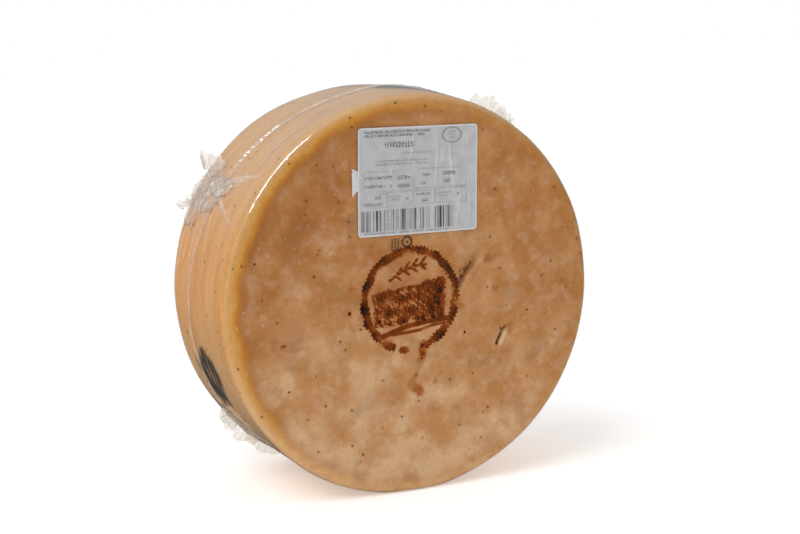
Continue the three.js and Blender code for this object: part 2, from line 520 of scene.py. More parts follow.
    def gilding(
        self, tree: bpy.types.NodeTree, clouds: Socket, marks: dict[str, Socket]
    ) -> tuple[Socket, Socket]:
        """Adds the golden band, by the distance inward from the rim plus a drift with the clouds. It is
        partly painted light, strongest on the lit left side.

        Args:
            tree: the material's tree.
            clouds: the cloud mask.
            marks: the sockets of the mesh's values.

        Returns:
            The band's colour and its cover.
        """
        drifted = {0: clouds, 1: self.drift * MM, 2: marks["inward"]}
        inward = add_node(tree, "Math", drifted, operation="MULTIPLY_ADD").outputs[0]
        limits = {"Value": inward, "From Min": -0.010, "From Max": 0.040}
        place = add_node(tree, "MapRange", limits).outputs[0]
        stops = [((10 + mm) / 50, (*linear(code)[:3], cover)) for mm, code, cover in self.edge_band]
        band = add_node(tree, "ValToRGB", {0: place}, stops=stops)
        gilt = {0: band.outputs["Alpha"], 1: marks["gilt"]}
        return band.outputs["Color"], add_node(tree, "Math", gilt, operation="MULTIPLY").outputs[0]

    def scorching(self, tree: bpy.types.NodeTree, burn: Socket) -> tuple[Socket, Socket]:
        """Adds the scorch, from orange through brown to char.

        Args:
            tree: the material's tree.
            burn: how deep the scorch is.

        Returns:
            The scorch's colour and its cover.
        """
        stops = [(place, linear(code)) for place, code in self.scorches]
        colour = add_node(tree, "ValToRGB", {0: burn}, stops=stops).outputs[0]
        limits = {"Value": burn, "From Min": 0.04, "From Max": 0.40}
        return colour, add_node(tree, "MapRange", limits, interpolation_type="SMOOTHSTEP").outputs[0]

    def smeared_ink(self, tree: bpy.types.NodeTree, coords: Socket, marks: dict[str, Socket]) -> Socket:
        """Adds the ink's cover, broken into smears on the rim and whole on the face.

        Args:
            tree: the material's tree.
            coords: Object coordinates.
            marks: the sockets of the mesh's values.

        Returns:
            The ink's cover.
        """
        breaks = {"Value": self.smears.mask(tree, coords), "To Min": 0.30, "To Max": 1.0}
        smear = add_node(tree, "MapRange", breaks).outputs[0]
        streaky = add_node(tree, "Mix", {0: marks["rim"], 2: 1.0, 3: smear}).outputs[0]
        return add_node(tree, "Math", {0: marks["ink"], 1: streaky}, operation="MULTIPLY").outputs[0]


@dataclass(frozen=True)
class ShrinkFilm:
    """Clear multilayer shrink film, blown as a tube, then heat shrunk round the cheese.

    It gives the eye a thin gloss over everything, faint pale streaks where it is drawn round the
    rim, and a milky grey wherever it is folded, welded or crumpled.
    """

    name: str
    base_haze: float
    roughness: float = 0.06
    milk: str = "#F6F1EA"
    index: float = 1.5
    drawn: Pattern = Pattern(5.0, 0.50, 0.80, 61.0, 4.0, False, (14.0, 1.0, 14.0))
    ripple: Pattern = Pattern(16.0, 0.0, 1.0, 67.0, 2.0)

    def make(self) -> bpy.types.Material:
        """Builds the material: clear film, milky where it has haze, under a gloss on its outer side.

        Returns:
            The material.
        """
        material, tree = new_finish(self.name)
        coords = add_node(tree, "TexCoord").outputs["Object"]
        haze = add_node(tree, "Attribute", attribute_name="haze").outputs["Fac"]
        rim = add_node(tree, "Attribute", attribute_name="rim").outputs["Fac"]
        drawn = self.drawn.mask(tree, coords)
        streaked = add_node(tree, "Math", {0: drawn, 1: rim}, operation="MULTIPLY").outputs[0]
        milky = add_node(tree, "Math", {0: streaked, 1: 0.24, 2: haze}, operation="MULTIPLY_ADD").outputs[0]
        cover = add_node(tree, "Math", {0: milky, 1: self.base_haze}, operation="ADD", use_clamp=True)
        ripples = {0: drawn, 1: 0.12, 2: self.ripple.mask(tree, coords)}
        ripple = add_node(tree, "Math", ripples, operation="MULTIPLY_ADD").outputs[0]
        bump = add_node(tree, "Bump", {"Height": ripple, "Distance": 0.00003, "Strength": 1.0}).outputs[0]
        clear = add_node(tree, "BsdfTransparent", {"Color": linear("#FBFAF8")}).outputs[0]
        near = add_node(tree, "BsdfDiffuse", {"Color": linear(self.milk)}).outputs[0]
        far = add_node(tree, "BsdfTranslucent", {"Color": linear(self.milk)}).outputs[0]
        frost = add_node(tree, "MixShader", {0: 0.3, 1: near, 2: far}).outputs[0]
        body = add_node(tree, "MixShader", {0: cover.outputs[0], 1: clear, 2: frost}).outputs[0]
        mirror = add_node(tree, "BsdfGlossy", {"Roughness": self.roughness, "Normal": bump}).outputs[0]
        fresnel = add_node(tree, "Fresnel", {"IOR": self.index, "Normal": bump}).outputs[0]
        back = add_node(tree, "NewGeometry").outputs["Backfacing"]
        front = add_node(tree, "Math", {0: 1.0, 1: back}, operation="SUBTRACT").outputs[0]
        share = add_node(tree, "Math", {0: fresnel, 1: front}, operation="MULTIPLY").outputs[0]
        out = add_node(tree, "MixShader", {0: share, 1: body, 2: mirror}).outputs[0]
        add_node(tree, "OutputMaterial", {"Surface": out})
        return material


@dataclass(frozen=True)
class PrintedPaper:
    """Coated label paper, thermally printed: cool white, matt, with grey ink and faint creases.

    The print is plain marks that only stand for rows of words, ruled boxes and a bar pattern.
    """

    name: str = "label_paper_printed"
    paper: str = "#AEAEB1"
    ink: str = "#38383C"
    cloud: str = "#BCBCBE"
    # The paler paper colour: the label's painted highlight along its edges and its creases' crests, and half
    # of the scrap's colour.
    crease: str = "#D8D7D6"
    printed: bool = True
    stroke: float = 0.9
    bar: float = 0.55
    fibre: Pattern = Pattern(9.0, 0.3, 0.75, 71.0, 5.0)

    def make(self) -> bpy.types.Material:
        """Builds the material: faintly cloudy paper, paler along its edges as a painted highlight and along
        its creases, then the print.

        Returns:
            The material.
        """
        material, tree = new_finish(self.name)
        coords = add_node(tree, "TexCoord")
        cloudy = self.fibre.mask(tree, coords.outputs["Object"])
        papers = {0: cloudy, 6: linear(self.paper), 7: linear(self.cloud)}
        tone = add_node(tree, "Mix", papers, data_type="RGBA").outputs[2]
        worn = add_node(tree, "Attribute", attribute_name="worn").outputs["Fac"]
        tone = add_node(tree, "Mix", {0: worn, 6: tone, 7: linear(self.crease)}, data_type="RGBA").outputs[2]
        if self.printed:
            tone = self.print_on(tree, coords.outputs["UV"], tone)
        skin = add_node(tree, "BsdfPrincipled", {"Base Color": tone, "Roughness": 0.6, "IOR": 1.5})
        add_node(tree, "OutputMaterial", {"Surface": skin.outputs[0]})
        return material

    def print_on(self, tree: bpy.types.NodeTree, layout: Socket, tone: Socket) -> Socket:
        """Adds the print: rows of stroke-like marks, rules and bars.

        Args:
            tree: the material's tree.
            layout: the UV map, in millimetres from the label's top left corner.
            tone: the paper's colour.

        Returns:
            The printed colour.
        """
        kinds = ("words", "rules", "bars")
        words, rules, bars = (add_node(tree, "Attribute", attribute_name=k).outputs["Fac"] for k in kinds)
        across = add_node(tree, "SeparateXYZ", {0: layout}).outputs["X"]
        scale = (1 / self.stroke, 0.75 / self.stroke, 1.0)
        letters = add_node(tree, "Mapping", {"Vector": layout, "Scale": scale})
        strokes = add_node(tree, "TexNoise", {"Vector": letters.outputs[0], "Scale": 1.0, "Detail": 1.0})
        limits = {"Value": strokes.outputs["Fac"], "From Min": 0.44, "From Max": 0.54}
        glyphs = add_node(tree, "MapRange", limits).outputs[0]
        step = add_node(tree, "Math", {0: across, 1: self.bar}, operation="DIVIDE").outputs[0]
        index = add_node(tree, "Math", {0: step}, operation="FLOOR").outputs[0]
        chance = add_node(tree, "TexWhiteNoise", {"W": index}, noise_dimensions="1D").outputs["Value"]
        stripe = add_node(tree, "Math", {0: chance, 1: 0.44}, operation="GREATER_THAN").outputs[0]
        written = add_node(tree, "Math", {0: glyphs, 1: words}, operation="MULTIPLY").outputs[0]
        barred = add_node(tree, "Math", {0: stripe, 1: bars}, operation="MULTIPLY").outputs[0]
        both = add_node(tree, "Math", {0: written, 1: barred}, operation="MAXIMUM").outputs[0]
        inked = add_node(tree, "Math", {0: both, 1: rules}, operation="MAXIMUM").outputs[0]
        return add_node(tree, "Mix", {0: inked, 6: tone, 7: linear(self.ink)}, data_type="RGBA").outputs[2]


@dataclass(frozen=True)
class StudioFloor:
    """Matt white paper sweep: it gives the eye only the soft shadow."""

    white: str = "#F7F7F7"
    grain_white: str = "#FAFAFA"
    glow: float = 0.29
    grain: Pattern = Pattern(3.0, 0.0, 1.0, 83.0, 2.0)

    def make(self) -> bpy.types.Material:
        """Builds the material: white paper that also glows a little, as a lit sweep does.

        Returns:
            The material.
        """
        material, tree = new_finish("sweep_paper_matt")
        coords = add_node(tree, "TexCoord").outputs["Object"]
        grain = self.grain.mask(tree, coords)
        whites = {0: grain, 6: linear(self.white), 7: linear(self.grain_white)}
        tone = add_node(tree, "Mix", whites, data_type="RGBA")
        skin = add_node(tree, "BsdfDiffuse", {"Color": tone.outputs[2]})
        glow = add_node(tree, "Emission", {"Strength": self.glow})
        both = add_node(tree, "AddShader", {0: skin.outputs[0], 1: glow.outputs[0]})
        add_node(tree, "OutputMaterial", {"Surface": both.outputs[0]})
        return material


# ---------------------------------------------------------------- the wheel's form


@dataclass(frozen=True)
class Disc:
    """The wheel's outer form, read from the frame: a disc with rounded edges and a flat foot."""

    axis: float
    radius: float
    half: float
    edge: float = 12.0

    @classmethod
    def from_frame(cls) -> "Disc":
        """Reads the film's outer form from the boxes of the two sheets.

        Returns:
            The form.
        """
        sheet_low, sheet_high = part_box("pouch_front_sheet")
        radius = (sheet_high.x - sheet_low.x) / 2 / MM
        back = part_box("pouch_back_sheet")[1].y
        return cls(axis=sheet_high.z / MM - radius, radius=radius, half=back / MM)

    def skin(self, level: float, turn: np.ndarray, y: np.ndarray, lift: np.ndarray) -> np.ndarray:
        """Points on the rim: radius plus lift from the axis at angle turn, with the foot cut flat.

        Args:
            level: how far inside the film's outer side, and above the floor, the surface lies.
            turn: angles in radians.
            y: places along the axis.
            lift: height above the rim.

        Returns:
            (..., 3) points in millimetres.
        """
        reach = self.radius - level + lift
        z = np.maximum(self.axis + reach * np.sin(turn), level)
        return np.stack([reach * np.cos(turn), y + 0 * turn, z], -1)

    def rows(
        self, inset: float, faces: np.ndarray, edge_steps: int
    ) -> tuple[np.ndarray, np.ndarray, np.ndarray, np.ndarray]:
        """The profile from a face's middle to the rim: radius, distance outward and the normal.

        Args:
            inset: how far inside the film's outer side the surface lies.
            faces: radii on the face, in millimetres.
            edge_steps: number of steps round the edge.

        Returns:
            Arrays of radius, half thickness, radial and axial parts of the normal.
        """
        edge = self.edge - inset
        flat, rim = self.half - inset, self.radius - inset
        turn = np.linspace(0, math.pi / 2, edge_steps + 1)
        radius = np.concatenate([faces, rim - edge + edge * np.sin(turn)])
        out = np.concatenate([np.full(len(faces), flat), flat - edge + edge * np.cos(turn)])
        radial = np.concatenate([np.zeros(len(faces)), np.sin(turn)])
        axial = np.concatenate([np.ones(len(faces)), np.cos(turn)])
        return radius, out, radial, axial

    def swell(self, points: np.ndarray) -> np.ndarray:
        """Height of the pressed cheese's low waviness and of the crown across the top of its rim.

        The waviness is two sizes of soft random swell. The crown is a parabola across the rim that
        fades round the wheel on both sides of 80 degrees. The film follows both.

        Args:
            points: (..., 3) points from the wheel's middle, in millimetres.

        Returns:
            Heights in millimetres.
        """
        x, y, z = np.moveaxis(points, -1, 0)
        over_top = ramp(0.90, 1.0, np.cos(np.arctan2(z, x) - math.radians(80)))
        crown = 3.2 * over_top * np.clip(1 - (y / self.half) ** 2, 0, 1)
        return 0.30 * waves(points, 95, 5) + 0.05 * waves(points, 34, 6) + crown


def placed(
    disc: Disc,
    radius: np.ndarray,
    y: np.ndarray,
    radial: np.ndarray,
    axial: np.ndarray,
    turn: np.ndarray,
    lift: np.ndarray,
    level: float,
) -> np.ndarray:
    """Points of a turned surface: profile point plus its normal times the swell and the lift.

    Args:
        disc: the wheel's form.
        radius: (rows, 1) or (rows, columns) distance from the axis.
        y: position along the axis, like radius.
        radial: radial part of the normal, like radius.
        axial: part of the normal along +Y, like radius.
        turn: (columns,) angles.
        lift: extra height along the normal.
        level: lowest height above the floor, where the foot is cut flat.

    Returns:
        (rows, columns, 3) points in millimetres.
    """
    base = np.stack(np.broadcast_arrays(radius * np.cos(turn), y + 0 * turn, radius * np.sin(turn)), -1)
    out = disc.swell(base) * ramp(0, 25, np.linalg.norm(base, axis=-1)) + lift
    x = base[..., 0] + out * radial * np.cos(turn)
    z = base[..., 2] + out * radial * np.sin(turn) + disc.axis
    return np.stack([x, base[..., 1] + out * axial, np.maximum(z, level)], -1)


# ---------------------------------------------------------------- marks on the cheese


@dataclass(frozen=True)
class ScorchedStamp:
    """A round stamp scorched into the face: a serrated ring round a hatched band and a plain sprig."""

    x: float = -6.6
    z: float = -0.6
    outer: float = 45.6
    inner: float = 38.8
    teeth: int = 78
    hatch: float = 3.3

    def burn(self, flat: np.ndarray) -> np.ndarray:
        """How deep the scorch is: the most of the ring, the band, the sprig, the ribbon and a halo.

        The ring lies between two rough circles, the outer one serrated, and is broken at its foot.

        Args:
            flat: (..., 2) places on the face.

        Returns:
            Depth from 0 to 1.
        """
        u, v = flat[..., 0] - self.x, flat[..., 1] - self.z
        here = np.stack([u, v], -1)
        r, turn = np.hypot(u, v), np.degrees(np.arctan2(v, u)) % 360
        rough, fine = waves(here, 11, 21), waves(here, 3.2, 22)
        outer = self.outer + 0.75 * np.cos(np.radians(turn) * self.teeth) + 0.6 * rough
        inner = self.inner + 0.9 * waves(here, 18, 23) + 1.1 * fine
        gap = ramp(249, 252, turn) * ramp(289, 286, turn)
        blot = ramp(5.4, 2.8, np.hypot((u + 5.6) / 1.3, v + 42.6) + 0.8 * fine)
        ring = ramp(outer + 0.8, outer - 0.8, r) * ramp(inner - 0.9, inner + 0.9, r)
        depth = 0.52 + 0.20 * waves(here, 26, 27) + 0.10 * rough + 0.10 * fine
        ring *= np.maximum(1 - gap, 0.55 * blot) * depth
        rim_line = ramp(1.6, 0.2, np.abs(r - outer + 1.6)) * (1 - gap) * 0.16
        total = np.clip(ring + rim_line * (ring > 0.1), 0, 1)
        strokes = [self.band(u, v, rough, fine), self.sprig(here, fine), self.ribbon(here, rough)]
        total = np.maximum.reduce([total, *strokes])
        halo = 0.15 * ramp(self.outer + 6, self.outer - 1, r + 2 * rough)
        halo *= ramp(self.inner - 6, self.inner, r)
        tint = 0.19 * ramp(26, 6, np.abs(v - 6 - 0.1 * u) + 5 * waves(here, 15, 28))
        tint *= ramp(44, 30, np.abs(u))
        return np.clip(np.maximum.reduce([total, halo * (1 - gap), tint]), 0, 1)

    def band(self, u: np.ndarray, v: np.ndarray, rough: np.ndarray, fine: np.ndarray) -> np.ndarray:
        """A slanted band of plain upright strokes, between two soft borders, darker at its right end.

        A stroke is a wave across the band, bent and broken by soft noise.

        Args:
            u: places across the stamp.
            v: places up the stamp.
            rough: coarse noise.
            fine: fine noise.

        Returns:
            Depth from 0 to 1.
        """
        top, bottom = 12.0 + 0.14 * u, -18.5 + 0.07 * u
        t = (v - bottom) / (top - bottom)
        frayed = 0.05 * rough + 0.03 * fine
        inside = ramp(-0.07, 0.05, t + frayed) * ramp(1.07, 0.95, t + frayed)
        inside *= ramp(-36, -31, u + 1.5 * fine) * ramp(35, 30, u + 1.5 * fine)
        ragged = 0.30 * waves(np.stack([u, v], -1), 9, 29)
        phase = (u - 0.12 * v) / self.hatch + 0.16 * rough + ragged
        stroke = ramp(0.25, 0.75, 0.5 + 0.5 * np.cos(2 * math.pi * phase))
        breaks = ramp(-0.6, 0.3, waves(np.stack([u, v / 1.6], -1), 6.5, 24))
        border = np.maximum(ramp(0.12, 0.04, t), ramp(0.88, 0.97, t))
        dark = 0.36 + 0.16 * rough + 0.16 * ramp(6, 22, u) * ramp(34, 28, u)
        return inside * np.clip(dark + 0.28 * stroke * breaks + 0.14 * border + 0.12 * fine, 0, 1)

    def sprig(self, here: np.ndarray, fine: np.ndarray) -> np.ndarray:
        """A plain sprig above the band: a bowed stem with pairs of leaves.

        Args:
            here: (..., 2) places from the stamp's middle.
            fine: fine noise.

        Returns:
            Depth from 0 to 1.
        """
        stem = ((-20.0, 17.0), (-8.0, 24.5), (4.0, 28.5), (14.0, 29.0))
        distance, share = along(here, stem)
        total = 0.55 * ramp(2.0, 0.7, np.abs(distance)) * (share > 0.001)
        for i, (x, z) in enumerate(((-14.0, 21.0), (-7.0, 25.0), (0.5, 27.3), (8.0, 28.7))):
            for side in (-1, 1):
                leaf, t = along(here, ((x, z), (x + 5.5, z + side * 5.0 + 1.5)))
                blade = ramp(2.1, 0.6, np.abs(leaf) / (0.5 + 1.3 * t * (1.25 - t)))
                total = np.maximum(total, (0.50 + 0.03 * i) * blade)
        return total * (0.85 + 0.25 * fine)

    def ribbon(self, here: np.ndarray, rough: np.ndarray) -> np.ndarray:
        """Two plain curved lines below the band and a short one at its left.

        Args:
            here: (..., 2) places from the stamp's middle.
            rough: coarse noise.

        Returns:
            Depth from 0 to 1.
        """
        # Each line's path, half width and depth.
        curves = (
            (((-26.0, -29.5), (-17.0, -26.5), (-2.0, -22.0), (16.0, -19.5), (36.0, -18.5)), 2.4, 0.52),
            (((-16.0, -28.5), (-6.0, -27.8), (9.0, -26.5), (20.0, -23.5), (32.0, -22.5)), 1.5, 0.42),
            (((-35.0, 7.0), (-33.8, 0.0), (-31.5, -9.0)), 1.2, 0.45),
        )
        total = np.zeros(here.shape[:-1])
        for path, width, dark in curves:
            distance, _ = along(here, path)
            line = ramp(width + 0.6, width - 0.8, np.abs(distance))
            total = np.maximum(total, (dark + 0.10 * rough) * line)
        return total


@dataclass(frozen=True)
class FaceMarks:
    """Everything else that shows in the front face: an ink mark, a cut, a slit, a dent and stains."""

    groove: Path = ((38.7, 6.5), (46.2, 19.6), (58.7, 33.2), (62.5, 36.4))
    slit: Path = ((76.0, -47.8), (79.2, -40.5), (83.0, -33.5), (87.5, -29.3))
    dent: Path = ((-82.0, 47.3), (-79.0, 42.5))
    dent_lip: Path = ((-79.5, 43.5), (-78.0, 44.5))
    drip: Path = ((4.6, -40.0), (4.3, -50.5), (-1.0, -63.8), (-5.8, -73.5), (1.8, -79.5))

    def relief(self, flat: np.ndarray) -> np.ndarray:
        """How far the face is sunk (minus) or raised (plus): bell-shaped grooves and lips along paths.

        Args:
            flat: (..., 2) places on the face.

        Returns:
            Heights in millimetres.
        """
        side, t = along(flat, self.groove)
        taper = ramp(0, 0.12, t) * ramp(1.0, 0.75, t)
        total = 0.20 * np.exp(-(((side - 4.2) / 2.4) ** 2)) - 0.8 * np.exp(-(((side + 0.6) / 2.6) ** 2))
        total *= taper
        side, t = along(flat, self.slit)
        taper = ramp(0, 0.08, t) * ramp(1.0, 0.8, t)
        total += taper * (0.35 * np.exp(-(((side - 2.8) / 1.5) ** 2)) - 1.8 * np.exp(-((side / 1.2) ** 2)))
        side, t = along(flat, self.dent)
        taper = ramp(0, 0.3, t + 0.15) * ramp(1.15, 0.8, t)
        return total - taper * 0.9 * np.exp(-((side / 1.8) ** 2))

    def cleft(self, flat: np.ndarray) -> np.ndarray:
        """Painted shadow in the depth of the cut and the slit.

        Args:
            flat: (..., 2) places on the face.

        Returns:
            Darkness from 0 to 1.
        """
        rough = waves(flat, 5, 31)
        side, t = along(flat, self.groove)
        cut = 0.92 * ramp(5.0, 0.6, np.abs(side + 1.4 + 1.2 * rough))
        cut *= ramp(-0.3, 0.1, t) * ramp(0.85, 0.50, t)
        side, t = along(flat, self.slit)
        slot = ramp(2.1, 0.7, np.abs(side + 0.5 * rough) / (1.1 - 0.5 * t))
        slot *= ramp(0.0, 0.06, t) * ramp(0.98, 0.7, t)
        return np.clip(np.maximum(cut * (0.8 + 0.3 * rough), 0.95 * slot), 0, 1)

    def lip(self, flat: np.ndarray) -> np.ndarray:
        """Cream of the cut cheese and a painted highlight, along the right side of the slit and the cut, and
        below the dent.

        Args:
            flat: (..., 2) places on the face.

        Returns:
            Cover from 0 to 1.
        """
        side, t = along(flat, self.slit)
        slot = 0.62 * ramp(2.6, 0.6, np.abs(side - 3.0 + 0.8 * waves(flat, 4, 38)))
        slot *= ramp(0.0, 0.1, t) * ramp(0.9, 0.5, t)
        side, t = along(flat, self.groove)
        cut = 0.16 * ramp(2.6, 0.8, np.abs(side - 4.2)) * ramp(0.02, 0.3, t) * ramp(1.0, 0.8, t)
        side, _ = along(flat, self.dent_lip)
        return np.maximum.reduce([slot, cut, 0.5 * ramp(1.8, 0.6, np.abs(side))])

    def stains(self, flat: np.ndarray) -> np.ndarray:
        """Orange smears: round ones, and the drip under the stamp.

        Args:
            flat: (..., 2) places on the face.

        Returns:
            Cover from 0 to 1.
        """
        # Each smear's place, radius and strength.
        spots = (
            (-39.0, 38.0, 15, 0.45),
            (-22.0, 33.0, 10, 0.35),
            (69.0, 29.0, 7, 0.55),
            (74.0, 3.0, 4, 0.5),
            (18.0, -73.0, 4, 0.5),
            (-61.0, 12.8, 4, 0.6),
            (-64.0, -7.5, 5, 0.5),
            (92.0, 70.0, 16, 0.25),
            (40.0, -10.0, 6, 0.6),
            (-88.0, 88.0, 26, 0.3),
            (88.0, -33.0, 6, 0.35),
            (52.0, 22.0, 9, 0.3),
        )
        rough = waves(flat, 9, 33)
        total = self.dabs(flat, spots, rough, 1.15, 0.2)
        side, t = along(flat, self.drip)
        width = 2.8 + 1.8 * np.abs(2 * t - 0.9)
        run = ramp(width + 1, width - 2, np.abs(side + 0.8 * rough))
        return np.maximum(total, run * (0.95 - 0.55 * ramp(0.15, 0.4, t) + 0.5 * ramp(0.75, 0.95, t)))

    def burns(self, flat: np.ndarray) -> np.ndarray:
        """Small dark burnt spots beside the stamp and at the head of the drip.

        Args:
            flat: (..., 2) places on the face.

        Returns:
            Depth from 0 to 1.
        """
        # Each spot's place, radius and strength.
        spots = (
            (45.1, -33.5, 1.3, 0.95),
            (-62.4, -7.8, 1.5, 0.9),
            (-52.5, -21.6, 1.0, 0.8),
            (4.3, -40.6, 1.8, 0.9),
            (-40.0, -27.0, 2.2, 0.95),
            (-35.2, -17.0, 2.0, 0.95),
            (18.5, -5.0, 3.0, 0.95),
            (5.5, -18.0, 2.4, 0.9),
            (15.0, -16.8, 2.6, 0.9),
            (21.0, 4.8, 3.2, 0.95),
            (4.6, -47.5, 2.6, 0.5),
        )
        return self.dabs(flat, spots, waves(flat, 4, 35), 1.3, 0.5)

    @staticmethod
    def dabs(
        flat: np.ndarray,
        spots: tuple[tuple[float, float, float, float], ...],
        rough: np.ndarray,
        edge: float,
        core: float,
    ) -> np.ndarray:
        """Ragged round spots: the most of each one's strength, full inside core and gone past edge.

        Args:
            flat: (..., 2) places on the face.
            spots: (x, z, radius, strength) of each spot.
            rough: noise that frays them.
            edge: the share of the radius where a spot ends.
            core: the share of the radius where it is full.

        Returns:
            Strength at each place.
        """
        total = np.zeros(flat.shape[:-1])
        for x, z, size, strength in spots:
            r = np.hypot(flat[..., 0] - x, flat[..., 1] - z) / size
            total = np.maximum(total, strength * ramp(edge, core, r + 0.25 * rough))
        return total

    def ink(self, flat: np.ndarray) -> np.ndarray:
        """A small plain mark above the stamp: four short bars, and a dot in a ring.

        Args:
            flat: (..., 2) places on the face.

        Returns:
            Cover from 0 to 1.
        """
        u, v = flat[..., 0] + 21.0, flat[..., 1] - 47.3
        bars = ramp(0.15, 0.60, 0.5 + 0.5 * np.cos(2 * math.pi * u / 2.8)) * ramp(5.4, 4.8, np.abs(u))
        bars *= ramp(5.6, 4.9, np.abs(v + 0.6))
        r = np.hypot(flat[..., 0] + 10.3, flat[..., 1] - 48.6)
        ring = np.maximum(ramp(1.5, 0.6, np.abs(r - 4.2)), ramp(1.9, 0.9, r))
        return np.clip(0.90 * np.maximum(bars, ring) * (0.92 + 0.2 * waves(flat, 3, 37)), 0, 1)


@dataclass(frozen=True)
class InkPatch:
    """An oval of smeared ink on the rim, as the ragged outline that the rind's smears fill."""

    turn: float
    y: float
    half_length: float
    half_width: float
    seed: int

    def ink(self, turn: np.ndarray, y: np.ndarray, radius: float) -> np.ndarray:
        """How dark the ink is: full inside an ellipse that long noise frays.

        Args:
            turn: angles in degrees.
            y: places along the axis.
            radius: the rim's radius.

        Returns:
            Cover from 0 to 1.
        """
        s = (np.mod(turn - self.turn + 180, 360) - 180) * math.radians(radius)
        across = np.broadcast_to(y, s.shape) - self.y
        rough = waves(np.stack([s / 4, across], -1), 9, self.seed)
        r = np.hypot(s / self.half_length, across / self.half_width)
        return ramp(1.10, 0.92, r + 0.17 * rough)


@dataclass
class CheeseWheel:
    """The cheese: one closed surface of rings from the front face's middle over the rim to the back's."""

    disc: Disc
    inset: float = 0.7
    columns: int = 440
    rim_rows: int = 26
    stamp: ScorchedStamp = field(default_factory=ScorchedStamp)
    marks: FaceMarks = field(default_factory=FaceMarks)
    patches: tuple[InkPatch, ...] = (
        InkPatch(-156.5, 9.0, 27.0, 24.0, 41),
        InkPatch(85.0, -9.0, 25.0, 24.0, 44),
    )

    def build(self) -> bpy.types.Object:
        """Makes the mesh with its marks as point values, and dresses it as rind.

        Returns:
            The wheel's object.
        """
        disc, inset = self.disc, self.inset
        turn = spaced_angles(self.columns, [(2, 48, 0.8)])
        # Rings lie closest where the stamp is.
        fine, middle, coarse = np.arange(0.7, 56, 0.72), np.arange(56, 108, 1.25), np.linspace(108, 157, 17)
        faces = np.concatenate([fine, middle, coarse[:-1]])
        back_faces = np.linspace(1.5, 157, 17)[:-1]
        radius, out, radial, axial = disc.rows(inset, faces, 8)
        b_radius, b_out, b_radial, b_axial = (a[::-1] for a in disc.rows(inset, back_faces, 8))
        half_rim = disc.half - disc.edge
        rim_y = np.linspace(-half_rim, half_rim, self.rim_rows + 2)[1:-1]
        ones, zeros = np.ones(self.rim_rows), np.zeros(self.rim_rows)
        rows_r = np.concatenate([radius, ones * (disc.radius - inset), b_radius])[:, None]
        rows_y = np.concatenate([-out, rim_y, b_out])[:, None]
        rows_n = np.concatenate([radial, ones, b_radial])[:, None]
        rows_a = np.concatenate([-axial, zeros, b_axial])[:, None]
        flat = np.stack([rows_r * np.cos(turn), rows_r * np.sin(turn)], -1)
        front = ((rows_y < 0) & (rows_a < -0.999)).astype(float) + 0 * turn
        burn = np.maximum(self.stamp.burn(flat), self.marks.burns(flat)) * front
        lift = (self.marks.relief(flat) - 0.12 * burn) * front
        grid = placed(disc, rows_r, rows_y, rows_n, rows_a, turn, lift, inset)
        degrees = np.degrees(turn) + 0 * rows_r
        on_rim = ramp(0.55, 1.0, np.abs(rows_n)) + 0 * turn
        rim_ink = np.maximum.reduce([p.ink(degrees, rows_y, disc.radius) for p in self.patches])
        inward = np.where(np.abs(rows_a) > 0.001, disc.radius - rows_r, np.abs(rows_y) - half_rim - disc.edge)
        top = ramp(0.2, 1.0, np.sin(turn))
        foot = ramp(0.2, 0.9, -np.sin(turn))
        out_share = np.clip(rows_r / 150, 0, 1)
        # Painted shade: darker towards the upper left and towards the right edge of the face.
        brown = ramp(0.5, 1.0, np.cos(turn - math.radians(145))) * out_share
        brown = brown + 0.60 * ramp(0.0, 0.9, np.cos(turn)) * out_share
        # Painted light: the gold is strongest on the left, the side that the key light falls on.
        gilded = ramp(-0.1, 1.0, np.cos(turn - math.radians(160)))
        draft = MeshDraft()
        draft.add(
            grid,
            Closing.BALL,
            inward=(inward + 0 * turn) * MM,
            rim=on_rim,
            burn=burn,
            ink=np.maximum(self.marks.ink(flat) * front, rim_ink * on_rim),
            stain=self.marks.stains(flat) * front,
            # Painted shadow in the cut and the slit.
            cleft=self.marks.cleft(flat) * front,
            # Cream of the cut cheese and a painted highlight on the cut's and the slit's lit sides.
            lip=self.marks.lip(flat) * front,
            # Painted shade, lessened by painted light along the foot's edge and at the top of the face.
            shade=np.clip(0.35 + 0.65 * brown - 0.45 * foot * out_share**9 - 0.26 * top * out_share, 0, 1),
            # The gold's cover: partly painted light, strongest on the lit left side.
            gilt=np.clip(0.16 + 0.84 * gilded + 0.20 * top + 0.15 * foot, 0, 1) + 0 * rows_r,
            # Pale veil: painted sheen of the film over the rim's top, and painted light on its lower part.
            frost=on_rim * (0.55 * ramp(-0.1, 0.7, -np.sin(turn)) + 0.40 * ramp(0.2, 0.7, np.sin(turn))),
        )
        return stand_in(draft.build("cheese_rind"), "cheese_wheel", WashedRind().make())


# ---------------------------------------------------------------- the pouch


@dataclass(frozen=True)
class Fold:
    """A fold drawn into the film, along a path of (rim way, axis way) offsets from a corner."""

    path: tuple[tuple[float, float], ...]
    height: float
    width: float
    haze: float


